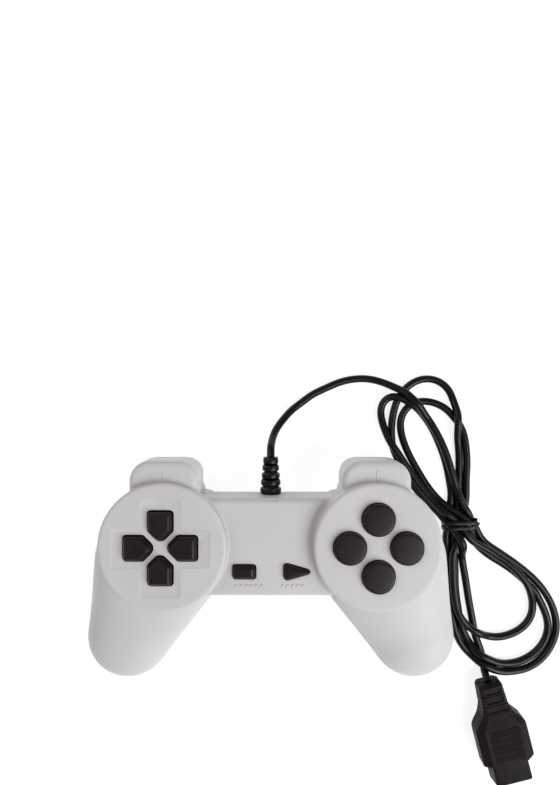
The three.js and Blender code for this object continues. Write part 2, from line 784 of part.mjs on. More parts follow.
// A cylinder along the plug's X.
function plugRod(radius, from, to, y, z, sides = 10) {
  const geometry = new THREE.CylinderGeometry(radius, radius, to - from, sides);
  geometry.rotateZ(-Math.PI / 2);
  geometry.translate((from + to) / 2, y, z);
  return solid(geometry);
}

function noseBlock() {
  const holes = CONTACTS.map(([y, z]) => plugRod(0.9, NOSE_END - 9, NOSE_END + 1, y, z));
  return cut(prismAlongX(noseOutline(), 28, NOSE_END), holes);
}

function contact([y, z]) {
  return cut(
    plugRod(0.6, NOSE_END - 8.6, NOSE_END - 0.8, y, z, 8),
    plugRod(0.35, NOSE_END - 6, NOSE_END, y, z, 6),
  );
}

// ---------------------------------------------------------------- assembly
const controller = new THREE.Group();

function add(name, shape, look, parent = controller) {
  const geometry = shape.isBufferGeometry ? shape : surface(shape);
  const mesh = new THREE.Mesh(geometry, look);
  mesh.name = name;
  parent.add(mesh);
  return mesh;
}

const form = housingForm(0);
const hollow = housingForm(WALL);
add("top_shell", topShell(form, hollow), material.housing);
add("bottom_shell", bottomShell(form, hollow), material.housing);

for (const [name, place] of Object.entries(FACE_PLACES)) {
  add(`face_button_${name}`, faceButton(facePlace(place)), material.keycap);
  add(`face_pill_${name}`, pill(facePlace(place)), material.carbon);
}

add("direction_pad", directionPad(), material.keycap);
const ball = new THREE.SphereGeometry(PAD.ball, 14, 8);
add("pad_pivot_ball", ball, material.nylon).position.set(PAD.x, PAD.y, PAD.pivotZ);
["right", "rear", "left", "front"].forEach((name, quarter) => {
  const [x, y] = turnedBy(PAD.footRing, 0, quarter);
  add(`pad_pill_${name}`, pill([x + PAD.x, y + PAD.y]), material.carbon);
});

add("select_button", optionButton(selectOutline(), -OPTION.x, 0.45), material.keycap);
add("start_button", optionButton(startOutline(), OPTION.x, 0.25), material.keycap);
add("select_pill", pill([-OPTION.x, OPTION.y]), material.carbon);
add("start_pill", pill([OPTION.x, OPTION.y]), material.carbon);

const roundBase = (side) => (low, high) => drum(RUBBER.margin, low, high, side * POD.x, POD.y, 40);
const padPlaces = [0, 1, 2, 3].map((quarter) => {
  const [x, y] = turnedBy(PAD.footRing, 0, quarter);
  return [x + PAD.x, y + PAD.y];
});
add("pad_membrane", rubberSheet(roundBase(-1), padPlaces), material.rubber);
add("face_membrane", rubberSheet(roundBase(1), Object.values(FACE_PLACES).map(facePlace)), material.rubber);
const stripBase = (low, high) =>
  slab(roundedRectangle(-17.5, 17.5, OPTION.y - 5.8, OPTION.y + 6.2, 2), low, high);
const optionPlaces = SIDES.map((side) => [side * OPTION.x, OPTION.y]);
add("option_membrane", rubberSheet(stripBase, optionPlaces), material.rubber);

add("main_board", mainBoard(), material.board);
const underBoard = BOARD.top - BOARD.thick - GAP;
const blobProfile = [
  [0, underBoard - 2.4],
  [3.4, underBoard - 2.2],
  [5.4, underBoard - 1.2],
  [6, underBoard],
  [0, underBoard],
];
const blob = turned(blobProfile, 0, 2, 20);
add("chip_blob", blob, material.epoxy);
add("capacitor", drum(2.5, underBoard - 4.5, underBoard, -12, 4, 20), material.ceramic);
[1, 5].forEach((y, i) => {
  const resistor = new THREE.CylinderGeometry(1.1, 1.1, 6.4, 12).rotateZ(Math.PI / 2);
  add(`resistor_${i + 1}`, resistor, material.ceramic).position.set(13, y, underBoard - 1.1);
});

SIDES.forEach((side, s) =>
  CASE_SCREWS.forEach(({ x, y, seat, tip }, i) => {
    const HEAD = 1.8;
    const low = seat - GAP - HEAD;
    const made = screw(2.8, HEAD, 1.3, tip - low - HEAD);
    add(`case_screw_${s * CASE_SCREWS.length + i + 1}`, made, material.steel).position.set(side * x, y, low);
  }),
);
BOARD_SCREWS.forEach(({ x, y }, i) => {
  const HEAD = 1.4;
  const low = BOARD.top - BOARD.thick - GAP - HEAD;
  const made = screw(2.3, HEAD, 1.0, BOARD_SCREW_TIP - low - HEAD);
  add(`board_screw_${i + 1}`, made, material.steel).position.set(x, y, low);
});

add("strain_relief", strainRelief(), material.jacket);
const stubRoute = [
  [0, BRIDGE.rear - WALL - 4 * GAP - 2, LEAD.z],
  [0, 23.6, 17.2],
  [0, 20.5, 15.6],
  [0, 17, 15.2],
];
add("lead_stub", tube(stubRoute, LEAD.radius, 6), material.jacket);
const WIRE_COLOURS = { red: 0xb02020, yellow: 0xc9a51c, white: 0xd8d8d8, green: 0x1f7a35, brown: 0x5a3a20 };
Object.entries(WIRE_COLOURS).forEach(([name, colour], i) => {
  const x = i - 2;
  const route = [
    [x * 0.62, 16.4 + 0.05 * Math.abs(x), 15.2],
    [x * 1.5, 13.8, 15.6],
    [x * 2.5, 11.8, 18.2],
    [x * 2.5, 11.4, underBoard - 0.1],
  ];
  const flat = route.map(([px, py, pz], k) => (k === 0 ? [px * 1.9, py, pz] : [px, py, pz]));
  add(`wire_${name}`, tube(flat, 0.45, 8, 6), plastic(colour));
});

add("lead_run", tube(LEAD_ROUTE, LEAD.radius, 44), material.jacket);
add("lead_hank", hank(), material.jacket);
add("hank_tie", tie(), material.jacket);
const plugDirection = new THREE.Vector2(1, 0).rotateAround(
  new THREE.Vector2(),
  THREE.MathUtils.degToRad(PLUG.angle),
);
const tailRoute = [
  [90.7, -46.3, 4.8],
  [91.1, -48.6, 5.5],
  [PLUG.x - 3 * GAP * plugDirection.x, PLUG.y - 3 * GAP * plugDirection.y, PLUG.z],
];
add("lead_tail", tube(tailRoute, LEAD.radius, 4), material.jacket);

const plug = new THREE.Group();
plug.position.set(PLUG.x, PLUG.y, PLUG.z);
plug.rotation.z = THREE.MathUtils.degToRad(PLUG.angle);
controller.add(plug);
add("plug_body", plugBody(prismAlongX(noseOutline(GAP), 28 - GAP, NOSE_END)), material.plug, plug);
add("plug_nose", noseBlock(), material.plug, plug);
WIRED_CONTACTS.forEach((which, i) =>
  add(`plug_contact_${i + 1}`, contact(CONTACTS[which]), material.brass, plug),
);

export default controller;
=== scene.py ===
"""The looks of a wired two-grip game controller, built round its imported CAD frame.

Every size is in millimetres and is scaled to metres where a Blender object is made.
+X is the player's right, +Y points away from the player, +Z is up, and the origin is on the table
under the middle of the housing.
"""
import json
import math

import bmesh
import bpy
import numpy as np
from mathutils import Matrix, Vector


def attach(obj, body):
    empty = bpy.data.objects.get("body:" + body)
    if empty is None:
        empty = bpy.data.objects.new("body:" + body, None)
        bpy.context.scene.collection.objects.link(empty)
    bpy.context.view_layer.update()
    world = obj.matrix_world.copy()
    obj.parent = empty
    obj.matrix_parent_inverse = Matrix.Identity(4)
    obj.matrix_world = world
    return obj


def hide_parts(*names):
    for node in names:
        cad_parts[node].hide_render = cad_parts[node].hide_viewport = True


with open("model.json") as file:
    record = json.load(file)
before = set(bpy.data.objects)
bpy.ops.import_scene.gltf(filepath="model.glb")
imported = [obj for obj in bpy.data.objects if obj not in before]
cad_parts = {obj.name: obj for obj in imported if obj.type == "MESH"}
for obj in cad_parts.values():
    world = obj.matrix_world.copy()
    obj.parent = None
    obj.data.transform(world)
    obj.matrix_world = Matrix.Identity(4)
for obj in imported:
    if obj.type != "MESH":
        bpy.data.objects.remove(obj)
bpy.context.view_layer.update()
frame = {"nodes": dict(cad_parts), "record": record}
MM = 0.001

# ---------------------------------------------------------------- sizes
# They are the CAD model's, apart from small differences in the grips' end, the lobes' foot, the
# keys' outlines and holes, the strain relief, and the tie, which here is two turns of a thin strip.
GAP = 0.3  # between pieces that touch
WALL = 2.0
SEAM = {"front": 13.0, "rear": 18.0}
POD = {"x": 41.0, "y": 12.2, "radius": 24.6, "bottom": 5.0, "top": 34.0, "foot": 6.0, "rim": 1.2}
BRIDGE = {"front": -7.8, "rear": 30.2, "bottom": 11.0, "top": 29.5, "round": 2.4}
LOBE = {
    "half_width": 13.3, "rear": 44.8, "top": 31.0, "corner": 8.0, "round": 2.2, "waist": 17.0, "draw": 1.9,
    "foot": 1.6,
}
GRIP = {
    "root_x": 45.6, "root_y": 2.3, "root_radius": 25.3, "end_x": 57.6, "end_y": -27.4, "end_radius": 17.0,
    "half_height": 13.5, "start_z": 18.0, "end_z": 13.1, "fullness": 2.3,
}
FACE = {"radius": 6.15, "ring": 10.8, "top": 36.5, "flange": 7.3, "flange_thick": 1.6, "hole": 6.42}
PAD = {
    "x": -41.5, "y": 12.2, "half_width": 4.5, "reach": 13.8, "shoulder": 6.7, "tip_round": 2.3,
    "corner": 0.9, "top": 36.5, "arm_half": 5.6, "arm_reach": 15.6, "plate_bottom": 28.0,
    "plate_top": 29.5, "foot_ring": 10.2, "hole": 0.58,
}
OPTION = {"x": 10.0, "y": 2.0, "width": 8.5, "depth": 5.1, "top": 31.7, "hole": 0.33}
WEDGE = {"left": 4.6, "tip": 7.0, "half": 3.35}
STEM_BOTTOM = 24.9  # where each key's stem ends, over its dome
LEAD = {"radius": 1.6, "z": 18.0}
BOOT = {"tip_y": 45.0, "tip_radius": 3.1, "base_radius": 4.3, "ribs": 5}
TIE = {"x": 80.45, "y": 15.0, "half_width": 7.6, "low": 0.1, "high": 9.1, "strip": 1.4, "thick": 0.5}
PLUG = {"x": 91.75, "y": -51.35, "z": 6.1, "angle": -75.7, "body": 33.0, "nose": 9.0}
RIDGES = {"start": 17.6, "end": 31.6, "pitch": 1.03, "depth": 0.20, "half_width": 6.9}  # on the plug
CASE_SCREWS = [(55, -22, 7, 22), (41, 37.4, 8, 25), (14.5, 24.5, 13.8, 25.5)]  # x, y, seat, tip
BOARD_SCREWS = {"x": 15.5, "y": 15.5, "low": 20.3}
POSTS = {"case": 4.4, "board": 3.0, "pivot": 2.35, "pivot_low": 30.7}  # radii, and the pivot's low end
PIPS = {"y": -3.55, "step": 1.95, "rows": [(-8.1, 6), (8.8, 5)]}  # each row is its middle x and its count
CELL, INNER_CELL = 0.6, 1.1  # the grids on which the housing's outside and inside are sampled

# ---------------------------------------------------------------- camera
def make_camera():
    """Looks straight down at a point behind the housing, with the top of the picture towards +Y."""
    data = bpy.data.cameras.new("camera")
    data.lens = 27.45
    data.sensor_width = 36.0
    data.clip_start = 0.005
    data.clip_end = 20.0
    camera = bpy.data.objects.new("camera", data)
    camera.location = Vector((3.75, 71.05, 260.0)) * MM
    bpy.context.scene.collection.objects.link(camera)
    bpy.context.scene.camera = camera


make_camera()

# ---------------------------------------------------------------- the lead's route
# The given route in passes, as (x, y, height), or (x, y) where it lies on the table: out of the
# housing and over to the tie, then round the front and rear loops in turn, and from the tie to the plug.
ROUTE = {
    "out of the housing to the tie": [
        (0, 45, 18), (0, 47.6, 17.4), (0.2, 50, 15), (1.8, 55, 11), (5, 59.4, 7.4), (9.3, 64, 4.4),
        (13.2, 66.7, 2.6), (17.1, 69.8, 1.8), (23.3, 72.8), (29.6, 75.5), (34.9, 76.7), (40, 77, 1.9),
        (45, 76.3, 2.8), (49.9, 74.6, 4.4), (54.8, 72, 5.8), (58.8, 68.9, 6.9), (62.5, 65.1, 7),
        (65.7, 61.3, 6.2), (68.9, 56.6, 5.2), (71.8, 51.2, 4.9), (73.9, 46.5, 4.9), (76, 40.2, 4.9),
        (78, 33.3, 5), (80.2, 27.2, 5), (82.5, 21.6, 4.6), (85.4, 15, 2.9),
    ],
    "outer front loop": [
        (90, 8.1, 2), (95.2, 4), (101.2, 0.1), (107.8, -4.7), (113.8, -9.9), (118.5, -15.9), (121.8, -22.8),
        (122.9, -30.1), (121.5, -36.2), (118.5, -41.4), (114.2, -45.6, 1.8), (108.4, -48.4, 2.4),
        (102.2, -48.9, 3.8), (96.2, -47.7, 5), (91.5, -45.5, 5.2), (87.2, -42.5, 4), (83.8, -39.3, 2.4),
        (81, -35.1, 1.8), (78.9, -29.3), (78.2, -22.8), (77.2, -16.3), (76.7, -9), (76.3, -1.2),
        (76.3, 5.3, 2), (76.7, 10.8, 2.6), (76.6, 15, 2.7),
    ],
    "inner rear loop": [
        (76.7, 19.2, 2.5), (77.8, 23.4, 1.8), (77.4, 30.3), (76.2, 37.2), (74.5, 43.6), (72, 50.1),
        (68.9, 56.4, 1.9), (65.2, 61.6, 2.8), (61.4, 65.3, 4.6), (57.6, 67.9, 5.2), (53.6, 69.4, 5.1),
        (50.1, 68.8, 4.6), (47.7, 66.1, 4.2), (47, 62.7, 4.2), (47.7, 58.2, 4.4), (49.2, 53.8, 4.8),
        (51.2, 49.5, 5), (54, 45.1, 4.9), (56.8, 40.6, 4.8), (60.1, 35.7, 4.8), (63.7, 30.7, 4.8),
        (67.9, 25.7, 4.9), (72.8, 21, 5.2), (80.5, 15, 5.6),
    ],
    "inner front loop": [
        (86.5, 7.6, 5.1), (92, 4, 4.7), (97.7, 0.3, 4.6), (103, -3.8, 4.7), (107.4, -8.2, 4.9),
        (110.5, -12.8, 4.6), (112.4, -18.3, 3.4), (112.5, -23.7, 2.2), (110.2, -28.4), (106, -31.9),
        (101.2, -33.8), (96.5, -34.5, 1.9), (91.5, -33.3, 3.2), (87, -30.9, 4.7), (83.2, -27.9, 5),
        (80.4, -24.2, 5), (79.1, -19.5, 5), (78.3, -14, 4.9), (77.8, -6.7, 4.9), (77.6, -0.3, 4.9),
        (78.8, 5.5, 4.4), (81.2, 10.8, 3), (82.2, 15, 2.7),
    ],
    "small rear loop": [
        (82.8, 21.7, 1.9), (83.5, 26.8), (84, 33.3), (84.4, 39.8), (84.2, 45.4), (83.5, 50.6), (81.9, 55.5),
        (79.5, 59.6), (76.7, 62.9), (73.2, 65.3), (69.4, 66.8), (65.2, 67.2), (61.2, 66.1), (58, 63.6),
        (56, 60), (55.8, 55.7), (56.7, 51), (58.5, 46.2), (60.9, 41.3), (63.8, 36.3), (67, 31.1),
        (70.9, 26.2, 2.4), (75.5, 21.5, 4.4), (83.7, 15, 5.6),
    ],
    "second front loop": [
        (89.4, 5, 2), (94.4, 0.9), (100.5, -3), (106.5, -7.6), (111.5, -12.6), (115.5, -18.3),
        (118.2, -24.1), (119.4, -30.1), (118.2, -35.3), (115.4, -39.6), (111.2, -43, 1.8),
        (106.2, -45.2, 2.2), (100.7, -45.8, 3.4), (95.4, -44.4, 5), (90.9, -42.2, 5.2), (87.4, -39.5, 4),
        (84.5, -35.8, 2.6), (82.5, -31.4, 1.8), (80.9, -25.8), (79.9, -19.8), (79.1, -14.2), (78.9, -7.7),
        (78.9, -1.2), (78.9, 4.9, 2), (78.8, 11.2, 2.6), (79, 15, 2.7),
    ],
    "outer rear loop": [
        (79.7, 19.2, 2.5), (80.8, 23.4, 1.8), (81, 29.8), (81, 37.6), (81, 44.1), (80.5, 50.2, 3),
        (80, 55.5, 4.7), (79.7, 60.2, 4.9), (79.2, 64.4, 4.2), (78.2, 68.3, 2.8), (76.7, 71.9, 1.8),
        (74, 74.7), (70.5, 76.5), (66.8, 76.9), (63.1, 76.2), (59.7, 74.2), (56.7, 71.4), (54.4, 67.8),
        (53, 63.5), (52.1, 58.8), (51.8, 54), (52, 49.3), (53.6, 44.5), (56.4, 39.5), (58.8, 35),
        (62.1, 30.1), (66.2, 25.2, 2.4), (70.5, 21, 4.4), (76.9, 15, 5.7),
    ],
    "tie to plug": [
        (80, 7.9, 5.6), (82, 0.5, 3.2), (83.2, -5.9, 1.8), (84.2, -12), (85.2, -18.5), (86.4, -25),
        (87.5, -31), (89, -36.6), (90.5, -41.8), (91.6, -46.7, 2.2), (91.6, -48.9, 3.9), (91.6, -50.8, 5.7),
        (91.75, -51.35, 6.1),
    ],
}
ON_TABLE = 1.7  # height of the lead's middle there
SAMPLE = 1.25  # spacing of the points that settle


def smooth_line(points, step):
    """Points at an even step along a centripetal Catmull-Rom line through the given ones."""
    ends = np.vstack([2 * points[0] - points[1], points, 2 * points[-1] - points[-2]])
    dense = []
    for i in range(len(points) - 1):
        a, b, c, d = ends[i : i + 4]
        spans = [math.sqrt(math.dist(*pair)) for pair in ((a, b), (b, c), (c, d))]
        t0, t1, t2, t3 = np.cumsum([0.0] + spans)
        count = max(2, int(math.dist(b, c) / step * 4))
        t = (t1 + (t2 - t1) * np.arange(count) / count)[:, None]

        def between(p, q, start, end):
            return ((end - t) * p + (t - start) * q) / (end - start)

        early, middle, late = between(a, b, t0, t1), between(b, c, t1, t2), between(c, d, t2, t3)
        dense.append(between(between(early, middle, t0, t2), between(middle, late, t1, t3), t1, t2))
    dense = np.vstack(dense + [points[-1:]])
    along = np.concatenate([[0.0], np.cumsum(np.linalg.norm(np.diff(dense, axis=0), axis=1))])
    even = np.linspace(0, along[-1], int(round(along[-1] / step)) + 1)
    return np.stack([np.interp(even, along, dense[:, k]) for k in range(3)], axis=1)


def settle(line, diameter, rounds=240):
    """Lets a given line come to rest: turns push apart, bends ease, and it sinks to the table."""
    radius = diameter / 2
    count = len(line)
    p = line.copy()
    held = np.zeros(count, bool)
    held[:5] = held[-3:] = True
    order = np.arange(count)
    drawn = np.array([1.0, 1.0, 0.3]) * 0.02  # how strongly a point is drawn back to the given line
    own, margin, renewed = 7, 1.2, 8  # points of the same bend, extra reach of the pairs, rounds they last
    for step in range(rounds):
        if step % renewed == 0:
            gaps = np.linalg.norm(p[:, None, :] - p[None, :, :], axis=2)
            apart = np.abs(order[:, None] - order[None, :]) > own
            first, second = np.nonzero((gaps < diameter + margin) & apart)
        offset = p[first] - p[second]
        distance = np.linalg.norm(offset, axis=1) + 1e-9
        close = distance < diameter
        push = np.where(close, (diameter - distance) / distance, 0.0)[:, None] * offset
        total = np.stack([np.bincount(first, push[:, k], count) for k in range(3)], axis=1)
        neighbours = np.maximum(np.bincount(first, close, count), 1)[:, None]
        bending = np.zeros_like(p)
        bending[2:-2] = -(p[:-4] - 4 * p[1:-3] + 6 * p[2:-2] - 4 * p[3:-1] + p[4:]) / 6
        moved = p + 0.5 * total / neighbours + 0.5 * bending + (line - p) * drawn
        # The strip of the tie lies under the bundle, so the lead rests a little higher there.
        over_tie = np.clip(1.6 - np.abs(moved[:, 1] - TIE["y"]) / 3.4, 0, 1) * (moved[:, 0] > 70)
        floor = radius + (TIE["thick"] + 0.25) * over_tie
        moved[:, 2] = np.maximum(moved[:, 2] - 0.01, floor)
        moved[held] = line[held]
        p = moved
    return p


# ---------------------------------------------------------------- mesh tools
# A form is (points in mm, faces); several closed forms can be joined in one mesh.
def joined(forms):
    points, faces, start = [], [], 0
    for form_points, form_faces in forms:
        points.append(np.asarray(form_points, float))
        faces += [tuple(start + i for i in face) for face in form_faces]
        start += len(form_points)
    return np.vstack(points), faces


def loft(rings):
    """A closed form through rings of equally many points, with a flat face at each end."""
    size = len(rings[0])
    faces = [tuple(reversed(range(size)))]
    for r in range(len(rings) - 1):
        low, high = r * size, (r + 1) * size
        for i in range(size):
            j = (i + 1) % size
            faces.append((low + i, low + j, high + j, high + i))
    last = (len(rings) - 1) * size
    faces.append(tuple(range(last, last + size)))
    return np.vstack(rings), faces


def circle(sides):
    """The cosines and sines of evenly spaced angles."""
    angles = np.arange(sides) * 2 * math.pi / sides
    return np.cos(angles), np.sin(angles)


def turned(profile, x, y, sides):
    """A form of revolution about an upright axis, from (radius, z) pairs."""
    c, s = circle(sides)
    return loft([np.stack([x + r * c, y + r * s, np.full(sides, z)], axis=1) for r, z in profile])


def rounded_corners(corners, inset, steps):
    """The outline of a convex polygon with round corners [x, y, radius], drawn in by inset."""
    outline = []
    count = len(corners)
    places = [Vector(c[:2]) for c in corners]
    normals = []
    for i in range(count):
        edge = (places[(i + 1) % count] - places[i]).normalized()
        normals.append(Vector((-edge.y, edge.x)))
    for i, (_, _, radius) in enumerate(corners):
        before, after = normals[i - 1], normals[i]
        half = (math.pi - before.angle(after)) / 2
        bisector = (before + after).normalized()
        vertex = places[i] + bisector * inset / math.sin(half)
        r = max(radius - inset, 0.12)
        centre = vertex + bisector * r / math.sin(half)
        start = math.atan2(-before.y, -before.x)
        turn = before.angle(after)
        for k in range(steps + 1):
            angle = start + turn * k / steps
            outline.append((centre.x + r * math.cos(angle), centre.y + r * math.sin(angle)))
    return np.array(outline)


def raised(corners, profile, steps=5):
    """A form standing on a round-cornered outline: profile is (z, inset) pairs from low to high."""
    rings = []
    for z, inset in profile:
        flat = rounded_corners(corners, inset, steps)
        rings.append(np.column_stack([flat, np.full(len(flat), z)]))
    return loft(rings)


def box_corners(x0, x1, y0, y1, radius):
    return [(x0, y0, radius), (x1, y0, radius), (x1, y1, radius), (x0, y1, radius)]


def block(x0, x1, y0, y1, z0, z1, radius, edge=0.2):
    profile = [(z0, edge), (z0 + edge, 0), (z1 - edge, 0), (z1, edge)]
    return raised(box_corners(x0, x1, y0, y1, radius), profile, steps=3)


def placed(form, matrix):
    points, faces = form
    points = points @ np.array(matrix.to_3x3()).T + np.array(matrix.translation)
    return points, faces


def make_mesh(name, form):
    points, faces = form
    mesh = bpy.data.meshes.new(name)
    mesh.from_pydata((np.asarray(points) * MM).tolist(), [], faces)
    work = bmesh.new()
    work.from_mesh(mesh)
    bmesh.ops.recalc_face_normals(work, faces=work.faces)
    work.to_mesh(mesh)
    work.free()
    return mesh


def make_object(name, form):
    mesh = form if isinstance(form, bpy.types.Mesh) else make_mesh(name, form)
    made = bpy.data.objects.new(name, mesh)
    bpy.context.scene.collection.objects.link(made)
    return made


def smooth(mesh, angle=32):
    mesh.polygons.foreach_set("use_smooth", [True] * len(mesh.polygons))
    mesh.set_sharp_from_angle(angle=math.radians(angle))


def piece(name, form, look, body, stands_for=(), angle=32):
    """A finished piece: its mesh, material, body and the CAD nodes that it stands for."""
    made = make_object(name, form)
    smooth(made.data, angle)
    made.data.materials.clear()
    made.data.materials.append(look)
    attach(made, body)
    if stands_for:
        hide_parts(*stands_for)
    return made


def carved(base, steps):
    """The base mesh after steps of ("INTERSECT" | "DIFFERENCE" | "UNION", form)."""
    work = make_object("carving", base)
    tools = []
    for operation, form in steps:
        tool = make_object("tool", form)
        change = work.modifiers.new("carve", "BOOLEAN")
        change.operation = operation
        change.object = tool
        change.solver = "MANIFOLD"
        tools.append(tool)
    view = bpy.context.evaluated_depsgraph_get()
    result = bpy.data.meshes.new_from_object(work.evaluated_get(view))
    for used in [work] + tools:
        mesh = used.data
        bpy.data.objects.remove(used)
        if mesh.users == 0:
            bpy.data.meshes.remove(mesh)
    return result


# ---------------------------------------------------------------- materials
# Patterns are laid out in metres on the object itself, so scale is in repeats per metre.
class Look:
    """A Principled material under construction."""

    def __init__(self, name, **sockets):
        self.material = bpy.data.materials.new(name)
        self.material.use_nodes = True
        self.nodes = self.material.node_tree.nodes
        self.links = self.material.node_tree.links
        self.shader = self.nodes["Principled BSDF"]
        self.place = self.nodes.new("ShaderNodeTexCoord").outputs["Object"]
        self.normal = None
        self.fill(self.shader, sockets)

    def fill(self, node, inputs):
        """Sets inputs to plain values, or links them from other nodes' outputs."""
        for name, value in inputs.items():
            socket = node.inputs[name.replace("_", " ").title().replace("Ior", "IOR")]
            if isinstance(value, bpy.types.NodeSocket):
                self.links.new(value, socket)
            else:
                socket.default_value = value

    def add(self, kind, output, **inputs):
        """A new node's output."""
        node = self.nodes.new("ShaderNode" + kind)
        self.fill(node, inputs)
        return node.outputs[output]

    def noise(self, scale, detail=3.0, roughness=0.5, distortion=0.0):
        values = {"scale": scale, "detail": detail, "roughness": roughness, "distortion": distortion}
        return self.add("TexNoise", "Fac", vector=self.place, **values)

    def cells(self, scale):
        return self.add("TexVoronoi", "Distance", scale=scale, vector=self.place)

    def bands(self, scale, distortion=0.0):
        return self.add("TexWave", "Fac", scale=scale, distortion=distortion, vector=self.place)

    def ramp(self, value, low, high, start=0.3, end=0.7):
        """Runs from one colour to another as value goes from start to end."""
        node = self.nodes.new("ShaderNodeValToRGB")
        for stop, position, colour in zip(node.color_ramp.elements, (start, end), (low, high)):
            stop.position = position
            stop.color = (*colour, 1.0)
        self.links.new(value, node.inputs["Fac"])
        return node.outputs["Color"]

    def mixed(self, value, a, b):
        node = self.nodes.new("ShaderNodeMix")
        node.data_type = "RGBA"
        self.links.new(value, node.inputs["Factor"])
        self.links.new(a, node.inputs["A"])
        self.links.new(b, node.inputs["B"])
        return node.outputs["Result"]

    def range(self, value, low, high, start=0.3, end=0.7):
        limits = {"from_min": start, "from_max": end, "to_min": low, "to_max": high}
        return self.add("MapRange", "Result", value=value, **limits)

    def colour(self, value):
        self.links.new(value, self.shader.inputs["Base Color"])

    def roughness(self, value, low, high):
        self.links.new(self.range(value, low, high), self.shader.inputs["Roughness"])

    def bump(self, height, depth, strength=1.0):
        """Adds relief: depth is the height in metres that a value of 1 stands for."""
        below = {} if self.normal is None else {"normal": self.normal}
        self.normal = self.add("Bump", "Normal", strength=strength, distance=depth, height=height, **below)
        self.links.new(self.normal, self.shader.inputs["Normal"])
        return self


def grey(level):
    return level, level, level


def housing_plastic():
    """Off-white moulded ABS: a fine spark-eroded grain, faint flow marks and a few dull handled patches."""
    look = Look("housing_plastic", ior=1.5, specular_ior_level=0.34)
    flow = look.noise(22, 3, 0.5, distortion=0.6)
    look.colour(look.ramp(flow, HOUSING_DARK, HOUSING_LIGHT, 0.3, 0.72))
    look.roughness(look.noise(60, 4, 0.6), 0.38, 0.50)
    look.bump(look.noise(2600, 2, 0.55), 0.000012)
    return look.bump(look.noise(85, 2), 0.00009, 0.6).material


def mottled(name, mottle, low, high, patches, rough, grains, **sockets):
    """A material of uneven colour and gloss; grains are its relief, as (noise, depth, strength)."""
    look = Look(name, **sockets)
    look.colour(look.ramp(look.noise(*mottle), low, high))
    look.roughness(look.noise(*patches), *rough)
    for grain, depth, strength in grains:
        look.bump(look.noise(*grain), depth, strength)
    return look.material


def phenolic_board():
    """Paper phenolic board with green resist over copper tracks."""
    look = Look("phenolic_board", ior=1.5)
    tracks = look.bands(260, 3.0)
    base = look.ramp(look.noise(900, 4), (0.17, 0.10, 0.035), (0.24, 0.15, 0.055))
    copper = look.ramp(look.noise(500, 3), (0.10, 0.16, 0.05), (0.16, 0.22, 0.07))
    look.colour(look.mixed(look.range(tracks, 0, 1, 0.62, 0.68), base, copper))
    look.roughness(look.noise(700, 3), 0.35, 0.6)
    return look.bump(tracks, 0.00003, 0.7).material


def simple_look(name, low, high, scale, rough, grain, depth, **sockets):
    """A mottled material with its gloss in smaller patches than its colour, and one fine grain."""
    grains = [((grain, 3), depth, 1.0)]
    return mottled(name, (scale, 4, 0.6), low, high, (scale * 1.7, 3), rough, grains, **sockets)


def brushed_steel():
    """Plated screw steel with turning marks and a few dull spots."""
    look = Look("plated_steel", metallic=1.0)
    look.colour(look.ramp(look.noise(900, 4), (0.42, 0.43, 0.45), (0.62, 0.62, 0.62)))
    look.roughness(look.noise(1500, 3), 0.24, 0.42)
    return look.bump(look.cells(2600), 0.00003, 0.5).material


def floor_paper():
    """Plain white seamless paper, which glows so that shadows wash out to white."""
    glow = {"emission_color": (1.0, 1.0, 1.0, 1.0), "emission_strength": FLOOR_GLOW}
    look = Look("floor_paper", roughness=0.85, specular_ior_level=0.1, **glow)
    look.colour(look.ramp(look.noise(30, 3), grey(0.39), grey(0.41)))
    return look.bump(look.noise(1500, 3), 0.00002).material


HOUSING_DARK = (0.556, 0.543, 0.554)
HOUSING_LIGHT = (0.606, 0.592, 0.603)
FLOOR_GLOW = 0.80
housing = housing_plastic()
# Satin keycap plastic with duller, greyer touched patches.
keys = mottled(
    "key_plastic", (160, 4, 0.6), (0.0100, 0.0062, 0.0055), (0.0150, 0.0102, 0.0092),
    (240, 4, 0.6), (0.30, 0.44), [((3200, 2), 0.00001, 1.0)], ior=1.5, specular_ior_level=0.22,
)
# Semi-gloss PVC of the lead and its strain relief.
jacket = mottled(
    "lead_jacket", (240, 4, 0.6), (0.0022, 0.0018, 0.0018), (0.0046, 0.0040, 0.0038),
    (420, 4, 0.55), (0.24, 0.37), [((900, 3), 0.00003, 0.7)], ior=1.52, specular_ior_level=0.24,
)
# Matt brown-black PVC of the plug, with a coarse eroded grain.
moulded = mottled(
    "plug_plastic", (110, 4, 0.6), (0.0072, 0.0052, 0.0043), (0.0125, 0.0094, 0.0080),
    (300, 4, 0.6), (0.42, 0.60), [((2200, 3, 0.6), 0.000025, 1.0), ((260, 2), 0.00005, 0.6)],
    ior=1.5, specular_ior_level=0.10,
)
